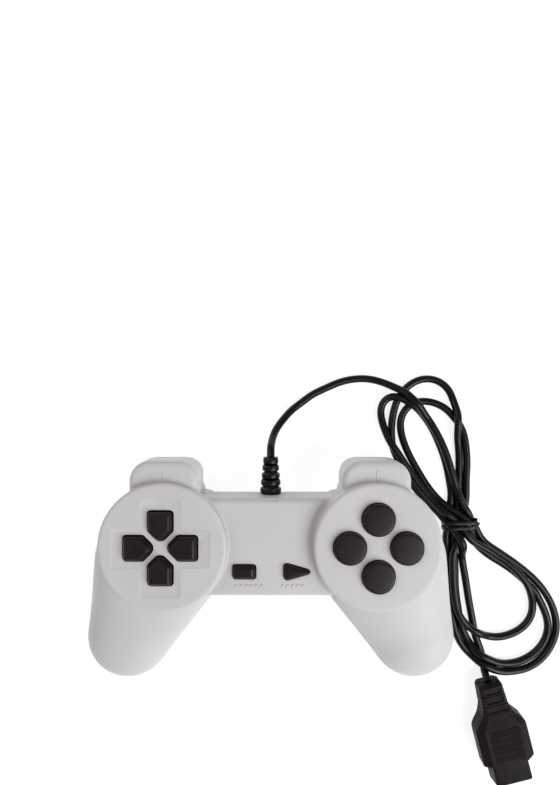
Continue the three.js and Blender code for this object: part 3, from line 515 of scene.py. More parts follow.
# The tie's glossy plastic film, crinkled over its wire.
film = mottled(
    "tie_film", (500, 3), (0.0035, 0.0030, 0.0032), (0.0080, 0.0070, 0.0070),
    (700, 3), (0.22, 0.40), [((1300, 3, 0.6), 0.00008, 1.0)], ior=1.5, specular_ior_level=0.22,
)
NODE_LOOKS = {
    "rubber": simple_look("grey_rubber", grey(0.24), grey(0.31), 300, (0.6, 0.8), 1800, 0.00003),
    "carbon": simple_look("carbon_print", grey(0.008), grey(0.02), 900, (0.6, 0.85), 2600, 0.00004),
    "board": phenolic_board(),
    "epoxy": simple_look("epoxy_blob", grey(0.006), grey(0.014), 250, (0.15, 0.3), 500, 0.00005, ior=1.55),
    "component": simple_look(
        "fired_coating", (0.36, 0.12, 0.03), (0.46, 0.17, 0.05), 600, (0.3, 0.5), 1500, 0.00003
    ),
    "nylon": simple_look("nylon", (0.72, 0.69, 0.60), (0.80, 0.77, 0.69), 300, (0.3, 0.45), 1500, 0.00002),
    "steel": brushed_steel(),
    "brass": simple_look(
        "contact_brass", (0.62, 0.44, 0.16), (0.74, 0.54, 0.22), 1500, (0.2, 0.38), 3000, 0.00002,
        metallic=1.0,
    ),
    "jacket": jacket,
}
WIRES = {
    "wire_red": (0.42, 0.02, 0.02), "wire_yellow": (0.60, 0.38, 0.02), "wire_white": (0.66, 0.66, 0.64),
    "wire_green": (0.02, 0.20, 0.05), "wire_brown": (0.11, 0.045, 0.018),
}
for wire, shade in WIRES.items():
    darker = tuple(0.8 * level for level in shade)
    NODE_LOOKS[wire] = simple_look(wire, darker, shade, 700, (0.3, 0.45), 2500, 0.00002)
slots = {row["node"]: row["material_slot"] for row in frame["record"]["subparts"]}
for node_name, node in frame["nodes"].items():
    if slots[node_name] in NODE_LOOKS:
        node.data.materials.clear()
        node.data.materials.append(NODE_LOOKS[slots[node_name]])
        smooth(node.data)


# ---------------------------------------------------------------- the housing's form
# Each function gives about the distance in mm from its surface, less than 0 inside.
def extruded(plan, z, low, high, round_low, round_high):
    """An upright extrusion of a plan distance, with its two ends rounded."""
    middle, half = (low + high) / 2, (high - low) / 2
    edge = np.where(z > middle, round_high, round_low)
    side, end = plan + edge, np.abs(z - middle) - half + edge
    outside = np.sqrt(np.maximum(side, 0) ** 2 + np.maximum(end, 0) ** 2)
    return np.minimum(np.maximum(side, end), 0) + outside - edge


def rounded_box(u, v, half_u, half_v, corner):
    du, dv = np.abs(u) - half_u + corner, np.abs(v) - half_v + corner
    outside = np.sqrt(np.maximum(du, 0) ** 2 + np.maximum(dv, 0) ** 2)
    return np.minimum(np.maximum(du, dv), 0) + outside - corner


def blended(a, b, reach):
    """The union of two forms, with a fillet where they meet."""
    near = np.maximum(reach - np.abs(a - b), 0) / reach
    return np.minimum(a, b) - near * near * reach / 4


def pod_form(x, y, z):
    plan = np.hypot(x - POD["x"], y - POD["y"]) - POD["radius"]
    drum = extruded(plan, z, POD["bottom"], POD["top"], POD["foot"], POD["rim"])
    # Under its raised disc the pod is cut square in the corner between the bridge and the lobe.
    corner = np.maximum(x - POD["x"] + LOBE["half_width"], BRIDGE["rear"] - y)
    return np.maximum(drum, -np.maximum(corner, z - BRIDGE["top"]))


def lobe_form(x, y, z):
    middle, half = (POD["y"] + LOBE["rear"]) / 2, (LOBE["rear"] - POD["y"]) / 2
    drawn_in = LOBE["draw"] * np.clip(1 - z / LOBE["waist"], 0, 1) ** 1.3
    plan = rounded_box(x - POD["x"], y - middle, LOBE["half_width"], half, LOBE["corner"]) + drawn_in
    return extruded(plan, z, 0.0, LOBE["top"], LOBE["foot"], LOBE["round"])


def bridge_form(x, y, z):
    middle_y, half_y = (BRIDGE["front"] + BRIDGE["rear"]) / 2, (BRIDGE["rear"] - BRIDGE["front"]) / 2
    middle_z, half_z = (BRIDGE["bottom"] + BRIDGE["top"]) / 2, (BRIDGE["top"] - BRIDGE["bottom"]) / 2
    section = rounded_box(y - middle_y, z - middle_z, half_y, half_z, BRIDGE["round"])
    return np.maximum(section, x - POD["x"])


def grip_form(x, y, z):
    """A tapering plan between two circles, as a full ellipse upright, on a spine that dips."""
    root_x, root_y = GRIP["root_x"], GRIP["root_y"]
    length = math.hypot(GRIP["end_x"] - root_x, GRIP["end_y"] - root_y)
    ax, ay = (GRIP["end_x"] - root_x) / length, (GRIP["end_y"] - root_y) / length
    s = (x - root_x) * ax + (y - root_y) * ay
    u = np.abs((y - root_y) * ax - (x - root_x) * ay)
    wide, narrow = GRIP["root_radius"], GRIP["end_radius"]
    lean = (wide - narrow) / length
    # The plan is the least ratio of distance to radius over all circles between the root and the end.
    local = np.maximum(wide - lean * s, 1.0)
    nearest = s - lean * u * u / local
    plan = u / np.sqrt(local * local + lean * lean * u * u)
    plan = np.where(nearest < 0, np.hypot(s, u) / wide, plan)
    plan = np.where(nearest > length, np.hypot(s - length, u) / narrow, plan)
    t = np.clip(s / length, 0, 1)
    spine = GRIP["start_z"] + (GRIP["end_z"] - GRIP["start_z"]) * t * t * (3 - 2 * t)
    half = wide + (narrow - wide) * t
    tall = GRIP["half_height"]
    power = GRIP["fullness"]
    across, upright = plan**power, (np.abs(z - spine) / tall) ** power
    size = (across + upright) ** (1 / power)
    share = across / np.maximum(across + upright, 1e-9)
    return np.maximum((size - 1) * (half * share + tall * (1 - share)), -z)


def housing_form(x, y, z):
    x = np.abs(x)
    form = blended(grip_form(x, y, z), pod_form(x, y, z), 0.8)
    form = blended(form, lobe_form(x, y, z), 0.7)
    return blended(form, bridge_form(x, y, z), 0.8)


def upright_rod(x, y, z, at_x, at_y, radius, low, high):
    return np.maximum(np.hypot(x - at_x, y - at_y) - radius, np.maximum(low - z, z - high))


def hollow_form(x, y, z):
    """The space inside the walls, less the screw posts and the pad's pivot post."""
    space = housing_form(x, y, z) + WALL
    for at_x, at_y, _, _ in CASE_SCREWS:
        space = np.maximum(space, -upright_rod(np.abs(x), y, z, at_x, at_y, POSTS["case"], -9, 50))
    at_x, at_y, low = BOARD_SCREWS["x"], BOARD_SCREWS["y"], BOARD_SCREWS["low"]
    post = upright_rod(np.abs(x), y, z, at_x, at_y, POSTS["board"], low, 50)
    pivot = upright_rod(x, y, z, PAD["x"], PAD["y"], POSTS["pivot"], POSTS["pivot_low"], 50)
    return np.maximum(np.maximum(space, -post), -pivot)


def skin(form, low, high, cell):
    """A mesh of quads near the surface where form is 0, then drawn onto it in four steps."""
    low, high = np.array(low, float), np.array(high, float)
    counts = np.ceil((high - low) / cell).astype(int) + 1
    axes = [low[k] + cell * np.arange(counts[k]) for k in range(3)]
    values = form(*[a.astype(np.float32) for a in np.meshgrid(*axes, indexing="ij")])
    cells = counts - 1
    total = int(np.prod(cells))
    sums, hits, quads = np.zeros((3, total)), np.zeros(total), []
    strides = np.array([cells[1] * cells[2], cells[2], 1])
    for axis in range(3):
        a = np.moveaxis(values, axis, 0)
        before, after = a[:-1], a[1:]
        crossing = np.moveaxis((before < 0) != (after < 0), 0, axis)
        at = np.array(np.nonzero(crossing))
        other = [k for k in range(3) if k != axis]
        inner = np.all([(at[k] > 0) & (at[k] < counts[k] - 1) for k in other], axis=0)
        at = at[:, inner]
        step = np.zeros(3, int)
        step[axis] = 1
        v0 = values[tuple(at)]
        v1 = values[tuple(at + step[:, None])]
        place = at.astype(float)
        place[axis] += v0 / (v0 - v1)
        corners = []
        for du, dv in ((0, 0), (-1, 0), (-1, -1), (0, -1)):
            owner = at.copy()
            owner[other[0]] += du
            owner[other[1]] += dv
            index = (owner * strides[:, None]).sum(axis=0)
            corners.append(index)
            for k in range(3):
                sums[k] += np.bincount(index, place[k], total)
            hits += np.bincount(index, minlength=total)
        quad = np.stack(corners, axis=1)
        outward = (v0 < 0) == (axis != 1)
        quads.append(np.where(outward[:, None], quad, quad[:, ::-1]))
    used = np.nonzero(hits)[0]
    points = (sums[:, used] / hits[used]).T * cell + low
    number = np.zeros(total, int)
    number[used] = np.arange(len(used))
    faces = number[np.vstack(quads)]
    for _ in range(4):
        points = drawn_onto(form, points)
    return points, faces.tolist()


def drawn_onto(form, points, reach=0.3):
    x, y, z = points.T
    here = form(x, y, z)
    d = 0.01
    slope = np.stack(
        [
            form(x + d, y, z) - form(x - d, y, z),
            form(x, y + d, z) - form(x, y - d, z),
            form(x, y, z + d) - form(x, y, z - d),
        ],
        axis=1,
    ) / (2 * d)
    steep = np.maximum((slope**2).sum(axis=1), 0.1)
    return points - slope * np.clip(here / steep, -reach, reach)[:, None]


# ---------------------------------------------------------------- outlines of the keys
def quarter_turned(corners, quarter):
    """Rows of (x, y, anything) about the direction pad's centre, after some quarter turns."""
    c, s = [(1, 0), (0, 1), (-1, 0), (0, -1)][quarter]
    return [(x * c - y * s + PAD["x"], x * s + y * c + PAD["y"], last) for x, y, last in corners]


def pad_corners(quarter):
    """One house-shaped cap of the direction pad, pointing at the pad's centre."""
    half, tip = PAD["half_width"], PAD["shoulder"] - PAD["half_width"]
    corners = [
        (tip, 0, PAD["tip_round"]),
        (tip + half, -half, PAD["corner"]),
        (PAD["reach"], -half, PAD["corner"]),
        (PAD["reach"], half, PAD["corner"]),
        (tip + half, half, PAD["corner"]),
    ]
    return quarter_turned(corners, quarter)


def select_corners():
    w, d = OPTION["width"] / 2, OPTION["depth"] / 2
    return box_corners(-OPTION["x"] - w, -OPTION["x"] + w, OPTION["y"] - d, OPTION["y"] + d, 0.8)


def start_corners():
    left = OPTION["x"] - WEDGE["left"]
    return [
        (OPTION["x"] + WEDGE["tip"], OPTION["y"], 0.75),
        (left, OPTION["y"] + WEDGE["half"], 1.1),
        (left, OPTION["y"] - WEDGE["half"], 1.1),
    ]


FACE_PLACES = {"right": (1, 0), "rear": (0, 1), "left": (-1, 0), "front": (0, -1)}


def face_place(name):
    u, v = FACE_PLACES[name]
    return POD["x"] + FACE["ring"] * u, POD["y"] + FACE["ring"] * v


def key_hole(corners, grow, surface):
    """The cutter for a key's hole, with a slightly eased upper edge."""
    edge = [(-6, 0), (-0.3, 0), (-0.1, 0.04), (0, 0.13), (6, 0.13)]
    return raised(corners, [(surface + height, -grow - ease) for height, ease in edge])


def pad_recess():
    """The cutter for the shallow cross that is sunk round the direction pad."""
    arm, reach, round_out, deep = 7.6, 18.8, 1.5, 0.12
    rings = []
    for z, inset in ((POD["top"] - deep, 0.22), (POD["top"] - 0.03, 0.02), (POD["top"] + 0.1, -0.1)):
        ring = []
        for quarter in range(4):
            across, out, r = arm - inset, reach - inset, round_out - inset
            corner = [(across, -across, z)]
            for side in (-1, 1):
                for step in range(6):
                    angle = math.radians(side * 45 - 45 + 90 * step / 5)
                    u, v = out - r + r * math.cos(angle), side * (across - r) + r * math.sin(angle)
                    corner.append((u, v, z))
            ring += quarter_turned(corner, quarter)
        rings.append(np.array(ring))
    return loft(rings)


# ---------------------------------------------------------------- the two halves of the housing
def seam_side(lift):
    """All the space above the seam (lift 1) or below it (lift -1), half a gap clear of it."""
    far, clear = 200.0, lift * GAP / 2
    section = [
        (-far, lift * far),
        (-far, SEAM["front"] + clear),
        (GRIP["end_y"], SEAM["front"] + clear),
        (POD["y"], SEAM["rear"] + clear),
        (far, SEAM["rear"] + clear),
        (far, lift * far),
    ]
    rings = [[(x, y, z) for y, z in section] for x in (-far, far)]
    return loft([np.array(r) for r in rings])


def lead_hole():
    turn = Matrix.Rotation(math.radians(-90), 4, "X")
    hole = turned([(3.6, -5), (3.6, 5)], 0, 0, 40)
    return placed(hole, Matrix.Translation((0, BRIDGE["rear"], LEAD["z"])) @ turn)


def housing_halves():
    low, high = (-77, -48, -2.4), (77, 48, 36)
    outer = skin(housing_form, low, high, CELL)
    points, faces = skin(hollow_form, low, high, INNER_CELL)
    inner = (points, [face[::-1] for face in faces])
    points, faces = joined([outer, inner])
    wall = bpy.data.meshes.new("wall")
    wall.from_pydata((points * MM).tolist(), [], faces)
    edge = [(-6, 0), (-0.3, 0), (-0.1, 0.08), (0, 0.16), (6, 0.16)]
    hole = [(FACE["hole"] + ease, POD["top"] + height) for height, ease in edge]
    face_holes = [turned(hole, *face_place(name), sides=72) for name in FACE_PLACES]
    pad_holes = [key_hole(pad_corners(q), PAD["hole"], POD["top"]) for q in range(4)]
    option_holes = [key_hole(c, OPTION["hole"], BRIDGE["top"]) for c in (select_corners(), start_corners())]
    ledge = raised(
        box_corners(-3.1, 3.1, BRIDGE["rear"] - 1.1, BRIDGE["rear"] + 4, 0.3),
        [(BRIDGE["top"] - 0.95, 0.1), (BRIDGE["top"] - 0.75, 0), (BRIDGE["top"] + 3, -0.2)],
    )
    both = [("DIFFERENCE", lead_hole()), ("DIFFERENCE", joined(screw_bores()))]
    top_only = [joined(face_holes + pad_holes + option_holes), pad_recess(), ledge]
    top_steps = [("INTERSECT", seam_side(1))] + [("DIFFERENCE", form) for form in top_only] + both
    return carved(wall.copy(), top_steps), carved(wall, [("INTERSECT", seam_side(-1))] + both)


def screw_bores():
    """A well for each screw's head and a clearance hole for its shank."""
    bores = []
    for side in (-1, 1):
        for x, y, seat, tip in CASE_SCREWS:
            profile = [(3.45, -3), (3.2, 0.3), (3.2, seat), (1.65, seat), (1.65, tip + GAP)]
            bores.append(turned(profile, side * x, y, sides=32))
        bore = [(1.3, 19), (1.3, 25.8)]
        bores.append(turned(bore, side * BOARD_SCREWS["x"], BOARD_SCREWS["y"], sides=20))
    return bores


# ---------------------------------------------------------------- the lead
def make_lead():
    drawn = np.array([(*point, ON_TABLE)[:3] for turn in ROUTE.values() for point in turn])
    line = smooth_line(drawn, SAMPLE)
    diameter = 2 * LEAD["radius"]
    line = settle(line, diameter)
    curve = bpy.data.curves.new("lead", "CURVE")
    curve.dimensions = "3D"
    curve.resolution_u = 1
    curve.bevel_depth = LEAD["radius"] * MM
    curve.bevel_resolution = 5
    curve.use_fill_caps = True
    spline = curve.splines.new("NURBS")
    spline.points.add(len(line) - 1)
    spline.points.foreach_set("co", np.column_stack([line * MM, np.ones(len(line))]).ravel())
    spline.order_u = 4
    spline.use_endpoint_u = True
    curve.materials.append(jacket)
    lead = bpy.data.objects.new("lead", curve)
    bpy.context.scene.collection.objects.link(lead)
    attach(lead, "housing")
    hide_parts("lead_run", "lead_hank", "lead_tail")
    length = np.linalg.norm(np.diff(line, axis=0), axis=1).sum()
    return lead, length * MM


# ---------------------------------------------------------------- keys
KEY_EDGE = [(0.0, 0.0), (0.32, 0.10), (0.95, 0.62), (1.22, 0.86), (1.40, 1.08), (1.46, 1.5), (1.46, 2.4)]


def key_cap(corners, root, top, slope=KEY_EDGE):
    """A cap with straight sides, a sloping shoulder and a flat face; slope is (height, inset) pairs."""
    start = top - slope[-1][0]
    profile = [(root, 0.0), (start - 1.0, 0.0)] + [(start + height, inset) for height, inset in slope]
    return raised(corners, profile)


def pad_shape():
    x, y = PAD["x"], PAD["y"]
    low, high = PAD["plate_bottom"], PAD["plate_top"]
    caps = [key_cap(pad_corners(q), high - 0.4, PAD["top"]) for q in range(4)]
    arm, reach = PAD["arm_half"], PAD["arm_reach"]
    plates = [
        block(x - reach, x + reach, y - arm, y + arm, low, high, 0.8),
        block(x - arm, x + arm, y - reach, y + reach, low + 0.01, high - 0.01, 0.8),
    ]
    hub = [turned([(2.9, low - 2), (3.4, low - 1.5), (3.4, high)], x, y, 32)]
    foot = [(2.3, STEM_BOTTOM), (2.6, STEM_BOTTOM + 0.3), (2.6, low + 0.5)]
    at = [(PAD["foot_ring"], 0, 0)]
    feet = [turned(foot, fx, fy, 32) for q in range(4) for fx, fy, _ in quarter_turned(at, q)]
    return joined(caps + plates + hub + feet)


def face_key(x, y):
    """A round key: a flange under the disc, a straight side, a soft rim and a barely domed face."""
    radius, top = FACE["radius"], FACE["top"]
    flange = POD["top"] - WALL - GAP
    profile = [
        (3.0, STEM_BOTTOM),
        (3.2, STEM_BOTTOM + 0.2),
        (3.2, flange - FACE["flange_thick"]),
        (FACE["flange"] - 0.2, flange - FACE["flange_thick"]),
        (FACE["flange"], flange - FACE["flange_thick"] + 0.2),
        (FACE["flange"], flange - 0.2),
        (FACE["flange"] - 0.2, flange),
        (radius + 0.15, flange),
        (radius + 0.02, top - 1.1),
    ]
    rim = 0.85
    for step in range(7):
        angle = math.radians(8 + 74 * step / 6)
        profile.append((radius - rim + rim * math.cos(angle), top - 0.16 - rim + rim * math.sin(angle)))
    crown = radius - rim
    for share in (0.85, 0.6, 0.35, 0.12):
        profile.append((crown * share, top - 0.16 * share * share))
    return turned(profile, x, y, 96)


def option_key(corners, x, shoulder):
    flange = BRIDGE["top"] - WALL - GAP
    w, d = OPTION["width"] / 2 + 0.9, OPTION["depth"] / 2 + 1.2
    y = OPTION["y"]
    return joined(
        [
            key_cap(corners, flange - 0.4, OPTION["top"], shoulder),
            block(x - w, x + w, y - d, y + d, flange - 1.3, flange, 1.0),
            turned([(2.4, STEM_BOTTOM), (2.6, STEM_BOTTOM + 0.2), (2.6, flange - 1)], x, y, 32),
        ]
    )


def make_keys():
    piece("pad_cap_cross", pad_shape(), keys, "direction_pad", ["direction_pad"])
    for name in FACE_PLACES:
        form = face_key(*face_place(name))
        piece(f"round_key_{name}", form, keys, f"face_button_{name}", [f"face_button_{name}"])
    block_edge = [(0.0, 0.0), (0.12, 0.06), (0.85, 0.95), (1.02, 1.2), (1.1, 1.5)]
    wedge_edge = [(0.0, 0.0), (0.12, 0.06), (0.85, 0.80), (1.0, 1.0), (1.06, 1.2)]
    select = option_key(select_corners(), -OPTION["x"], block_edge)
    start = option_key(start_corners(), OPTION["x"], wedge_edge)
    piece("block_key", select, keys, "select_button", ["select_button"])
    piece("wedge_key", start, keys, "start_button", ["start_button"])


def make_marks():
    """Low moulded marks: pips under each option key, an arrow past each pad arm, a line on each lobe."""
    low, high = BRIDGE["top"] - 0.4, BRIDGE["top"] + 0.28
    pip = [(0.72, low), (0.72, high - 0.16), (0.62, high - 0.04), (0.42, high), (0.1, high + 0.01)]
    forms = []
    for x, count in PIPS["rows"]:
        for i in range(count):
            forms.append(turned(pip, x + PIPS["step"] * (i - (count - 1) / 2), PIPS["y"], 24))
    low, high = POD["top"] - 0.6, POD["top"] - 0.04
    for quarter in range(4):
        corners = quarter_turned([(15.9, -0.9, 0.2), (17.5, 0, 0.2), (15.9, 0.9, 0.2)], quarter)
        forms.append(raised(corners, [(low, 0), (high - 0.1, 0), (high, 0.12)], steps=2))
    low, high = LOBE["top"] - 0.4, LOBE["top"] + 0.22
    for side in (-1, 1):
        x = side * POD["x"]
        forms.append(block(x - 0.28, x + 0.28, 37.3, 41.0, low, high, 0.25, 0.15))
    piece("moulded_marks", joined(forms), housing, "housing")


# ---------------------------------------------------------------- strain relief
def boot_shape():
    """Bulging ribs joined by webs, in turn at the sides and at the top and bottom."""
    wall_out, wall_in = BRIDGE["rear"] + GAP, BRIDGE["rear"] - WALL - GAP
    sides, per_rib = 56, 12
    pitch = (BOOT["tip_y"] - wall_out) / BOOT["ribs"]
    # Each row is (y, radius, groove); a groove less than 0 has its webs above and below.
    inside = [(wall_in - 2, 4.4), (wall_in - 1.8, 4.6), (wall_in, 4.6), (wall_in, 3.25), (wall_out, 3.25)]
    rows = [(y, radius, 0) for y, radius in inside]
    taper = BOOT["tip_radius"] - BOOT["base_radius"]
    for rib in range(BOOT["ribs"]):
        for step in range(per_rib + 1):
            share = step / per_rib
            y = wall_out + (rib + share) * pitch
            radius = BOOT["base_radius"] + taper * (rib / (BOOT["ribs"] - 1)) - 0.22 * (2 * share - 1) ** 2
            groove = max(0.0, 1 - (1 - share) / 0.30) if rib < BOOT["ribs"] - 1 else 0.0
            groove = max(groove, max(0.0, 1 - share / 0.12) if rib > 0 else 0.0)
            side = 1 if (rib % 2 == 1) == (share > 0.5) else -1
            rows.append((y, radius, groove * side))
    rows.append((BOOT["tip_y"], BOOT["tip_radius"] - 0.55, 0))
    c, s = circle(sides)
    rings, last = [], -1e9
    for y, radius, groove in rows:
        y = max(y, last + 1e-3)
        last = y
        facing = np.abs(c if groove > 0 else s)
        web = np.clip((facing - 0.80) / 0.10, 0, 1)
        depth = abs(groove) * (0.95 * (1 - web) + 0.30 * web)
        r = radius - depth
        rings.append(np.stack([r * c, np.full(sides, y), LEAD["z"] - r * s], axis=1))
    return loft(rings)


# ---------------------------------------------------------------- the tie
def ring_tube(path, half_width, half_thick, across):
    """A flat strip along a path; across gives the direction of its width at each point."""
    path = np.asarray(path, float)
    ahead = np.gradient(path, axis=0)
    ahead /= np.linalg.norm(ahead, axis=1)[:, None]
    wide = np.asarray(across, float)
    wide = wide - (wide * ahead).sum(axis=1)[:, None] * ahead
    wide /= np.linalg.norm(wide, axis=1)[:, None]
    thin = np.cross(ahead, wide)
    c, s = circle(12)
    u = (np.sign(c) * np.abs(c) ** 0.6 * half_width)[:, None]
    v = (np.sign(s) * np.abs(s) ** 0.6 * half_thick)[:, None]
    return loft([place + u * w + v * t for place, w, t in zip(path, wide, thin)])


def tie_shape():
    """Two turns of a flat wire tie round the bundle, closed by a small twisted loop on the right."""
    steps, turns = 150, 2
    path, across = [], []
    half = TIE["half_width"] - TIE["thick"] / 2
    low, high = TIE["low"] + TIE["thick"] / 2, TIE["high"] - TIE["thick"] / 2
    middle, tall = (low + high) / 2, (high - low) / 2
    for i in range(steps + 1):
        angle = 2 * math.pi * turns * i / steps
        c, s = math.cos(angle), math.sin(angle)
        x = TIE["x"] + half * math.copysign(abs(c) ** 0.55, c)
        z = middle + tall * math.copysign(abs(s) ** 0.55, s)
        sway = math.sin(angle / 2 + 0.3) + 0.25 * math.sin(angle * 1.5)
        sway += 1.5 * c * angle / (2 * math.pi * turns)
        path.append((x, TIE["y"] + sway, z))
        across.append((0.0, 1.0, 0.0))
    forms = [ring_tube(path, TIE["strip"] / 2, TIE["thick"] / 2, across)]
    # The two ends twist together and lie back along the bundle's right side.
    start = np.array([TIE["x"] + half - 1.9, TIE["y"] + 1.6, TIE["high"] - 1.9])
    for phase in (0, math.pi):
        strand, wide = [], []
        for i in range(49):
            t = i / 48
            twist = phase + t * 3.4 * math.pi
            spread = 0.42 * min(1.0, 8 * (1 - t) + 0.4)
            run = start + np.array([1.9 * math.sin(math.pi * t), -2.6 * t, -2.8 * t * t])
            strand.append(run + spread * np.array([0.5 * math.cos(twist), 0.0, math.sin(twist)]))
            wide.append((math.sin(twist), 0.2, math.cos(twist)))
        forms.append(ring_tube(strand, 0.5, 0.26, wide))
    return joined(forms)


# ---------------------------------------------------------------- the plug
# The plug lies along its own +X from the lead's end; each row is (x, half width, half height).
PLUG_ROWS = [
    (0.0, 4.3, 3.8), (0.35, 4.8, 4.3), (0.9, 5.0, 4.6), (4.0, 5.15, 4.65), (4.3, 4.9, 4.4),
    (4.6, 5.2, 4.7), (8.0, 5.4, 4.75), (8.25, 5.1, 4.45), (8.6, 5.4, 4.7), (10.2, 5.7, 4.9),
    (10.6, 5.9, 5.0), (12.0, 6.4, 5.3), (13.7, 7.4, 5.5), (15.3, 8.8, 5.7), (16.9, 10.1, 5.9),
    (18.3, 10.7, 6.0), (19.8, 10.8, 6.0), (32.5, 10.8, 6.0), (32.85, 10.6, 5.8), (33.0, 10.2, 5.5),
]


def plug_body_shape():
    """Ribbed neck, flared shoulders and a block with fine grip ridges across its two faces."""
    rows = np.array(PLUG_ROWS)
    places = np.unique(np.concatenate([np.arange(0, PLUG["body"], 0.16), rows[:, 0]]))
    rings = []
    around = np.linspace(0, 2 * math.pi, 120, endpoint=False) + 0.01
    for x in places:
        half_w = np.interp(x, rows[:, 0], rows[:, 1])
        half_h = np.interp(x, rows[:, 0], rows[:, 2])
        # A flat face with a chamfer down each side: chamfers widen from the neck to the block.
        grown = min(max((x - 11.0) / 8.0, 0.0), 1.0)
        chamfer_w, chamfer_h = 1.1 + 2.2 * grown, 1.5 + 1.2 * grown
        y, z = chamfered(around, half_w, half_h, chamfer_w, chamfer_h)
        face = np.clip((half_w - chamfer_w + 0.3 - np.abs(y)) / 0.5, 0, 1)
        face *= np.clip((np.abs(z) / half_h - 0.8) / 0.1, 0, 1)
        relief = np.zeros_like(y)
        past, left = x - RIDGES["start"], RIDGES["end"] - x
        if past > 0 and left > 0:
            reach = np.clip((RIDGES["half_width"] - np.abs(y)) / 0.6, 0, 1)
            reach *= min(1.0, past / 0.5, left / 0.5)
            relief += RIDGES["depth"] * (0.5 - 0.5 * math.cos(2 * math.pi * past / RIDGES["pitch"])) * reach
        for slot_start, slot_end in ((1.5, 3.6), (5.2, 7.4)):
            if slot_start < x < slot_end:
                deep = min(1.0, (x - slot_start) / 0.3, (slot_end - x) / 0.3)
                relief += 0.55 * deep * np.clip((3.5 - np.abs(y)) / 0.3, 0, 1)
        if 9.6 < x < 11.2:
            relief += 0.35 * math.sin(math.pi * (x - 9.6) / 1.6)
        z = z - np.sign(z) * relief * face
        rings.append(np.stack([np.full(len(y), x), y, z], axis=1))
    return loft(rings)


def chamfered(around, half_w, half_h, chamfer_w, chamfer_h):
    """Points round an upright rectangle whose four corners are cut by a slope and eased."""
    c, s = np.cos(around), np.sin(around)
    flat = 1 / np.maximum(np.abs(c) / half_w, np.abs(s) / half_h)
    y, z = flat * c, flat * s
    # Distance past the sloping corner cut, measured in units of the cut.
    over = (np.abs(y) - half_w) / chamfer_w + (np.abs(z) - half_h) / chamfer_h + 1
    scale = np.where(over > 0, 1 - over / (np.abs(y) / chamfer_w + np.abs(z) / chamfer_h), 1.0)
    y, z = y * scale, z * scale
    return y, z


NOSE = {"top": 7.6, "bottom": 8.6, "half": 4.2, "corner": 1.3}
CONTACT_STEP, CONTACT_ROW = 2.76, 1.42  # along a row, and each row's distance from the middle
CONTACTS = [(i * CONTACT_STEP, -CONTACT_ROW) for i in (-2, -1, 0, 1, 2)]
CONTACTS += [(i * CONTACT_STEP, CONTACT_ROW) for i in (-1.5, -0.5, 0.5, 1.5)]


def nose_shape():
    """The D-shaped socket block with nine contact holes in its end and an eased rim."""
    end = PLUG["body"] + PLUG["nose"]
    corners = [
        (-NOSE["bottom"], -NOSE["half"], NOSE["corner"]),
        (NOSE["bottom"], -NOSE["half"], NOSE["corner"]),
        (NOSE["top"], NOSE["half"], NOSE["corner"]),
        (-NOSE["top"], NOSE["half"], NOSE["corner"]),
    ]
    profile = [(28.0, 0.1), (end - 0.45, 0), (end - 0.12, 0.14), (end, 0.45)]
    form = raised(corners, profile, steps=6)
    lay = Matrix(((0, 0, 1, 0), (1, 0, 0, 0), (0, 1, 0, 0), (0, 0, 0, 1)))
    holes = [
        turned([(0.95, end - 9), (0.95, end - 0.3), (1.25, end + 0.02), (1.25, end + 1)], y, z, 24)
        for y, z in CONTACTS
    ]
    # The outline and the holes stand upright as (across, up, along), and both are laid along +X.
    return carved(make_mesh("nose", placed(form, lay)), [("DIFFERENCE", placed(joined(holes), lay))])


def make_plug():
    turn = Matrix.Rotation(math.radians(PLUG["angle"]), 4, "Z")
    end = Vector((PLUG["x"], PLUG["y"], PLUG["z"]))
    place = Matrix.Translation(end) @ turn
    body = piece(
        "plug_shell", placed(plug_body_shape(), place), moulded, "housing", ["plug_body"], angle=28
    )
    nose = nose_shape()
    nose.transform(Matrix.Translation(end * MM) @ turn)
    socket = piece("plug_socket", nose, moulded, "housing", ["plug_nose"])
    return body, socket


# ---------------------------------------------------------------- floor and light
WORLD, KEY, FILL = 0.32, 18.6, 3.6  # strength of the sky, and power of the two lights in watts
AIM = (0, 0, 15)  # what both lights face


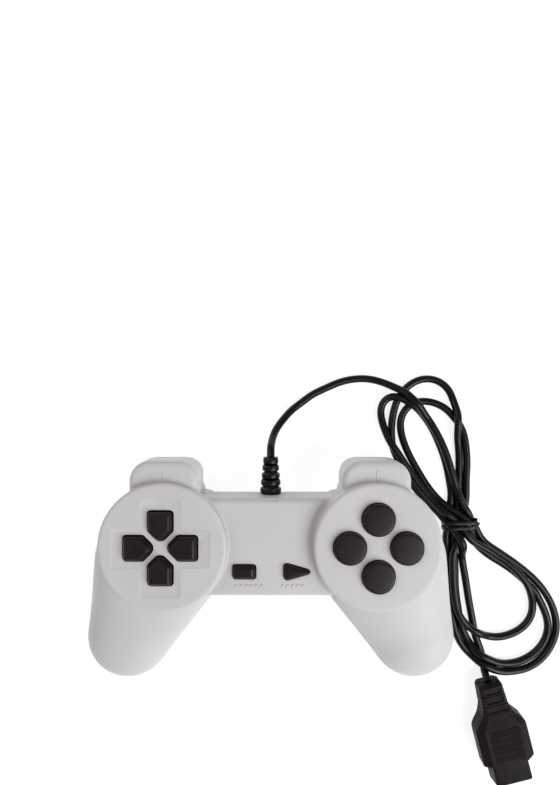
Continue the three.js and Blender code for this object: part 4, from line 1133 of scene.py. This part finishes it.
def make_floor():
    """A flat sheet of paper, far wider than the camera's own view."""
    half, count = 3000.0, 13
    ticks = np.linspace(-half, half, count)
    points = [(x, y, -0.02) for y in ticks for x in ticks]
    starts = [r * count + c for r in range(count - 1) for c in range(count - 1)]
    faces = [(i, i + 1, i + count + 1, i + count) for i in starts]
    floor = make_object("floor", (points, faces))
    floor.data.materials.append(floor_paper())


def area_light(name, place, size, power, colour):
    data = bpy.data.lights.new(name, "AREA")
    data.shape = "SQUARE"
    data.size = size * MM
    data.energy = power
    data.color = colour
    light = bpy.data.objects.new(name, data)
    light.location = Vector(place) * MM
    light.rotation_euler = (Vector(AIM) - Vector(place)).to_track_quat("-Z", "Y").to_euler()
    bpy.context.scene.collection.objects.link(light)


def make_light():
    world = bpy.data.worlds.new("soft_white")
    world.use_nodes = True
    nodes, links = world.node_tree.nodes, world.node_tree.links
    sky = nodes["Background"]
    sky.inputs["Color"].default_value = (1.0, 0.97, 0.98, 1.0)
    sky.inputs["Strength"].default_value = WORLD
    # Where the camera looks past the paper it sees plain white, whatever the sky's own strength.
    backdrop = nodes.new("ShaderNodeBackground")
    backdrop.inputs["Color"].default_value = (1.0, 1.0, 1.0, 1.0)
    choice, seen = nodes.new("ShaderNodeMixShader"), nodes.new("ShaderNodeLightPath")
    links.new(seen.outputs["Is Camera Ray"], choice.inputs["Fac"])
    links.new(sky.outputs["Background"], choice.inputs[1])
    links.new(backdrop.outputs["Background"], choice.inputs[2])
    links.new(choice.outputs["Shader"], nodes["World Output"].inputs["Surface"])
    bpy.context.scene.world = world
    area_light("key", (840, -540, 980), 1050, KEY, (0.97, 0.985, 1.0))
    area_light("fill", (-840, 520, 840), 800, FILL, (1.0, 0.965, 0.975))
    bpy.context.scene.view_settings.view_transform = "Standard"


# ---------------------------------------------------------------- assembly
lead, lead_length = make_lead()
piece("strain_boot", boot_shape(), jacket, "housing", ["strain_relief"])
tie = piece("wire_tie", tie_shape(), film, "housing", ["hank_tie"])
plug_shell, plug_socket = make_plug()
top_half, bottom_half = housing_halves()
piece("housing_top", top_half, housing, "housing", ["top_shell"])
piece("housing_bottom", bottom_half, housing, "housing", ["bottom_shell"])
make_keys()
make_marks()
make_floor()
make_light()
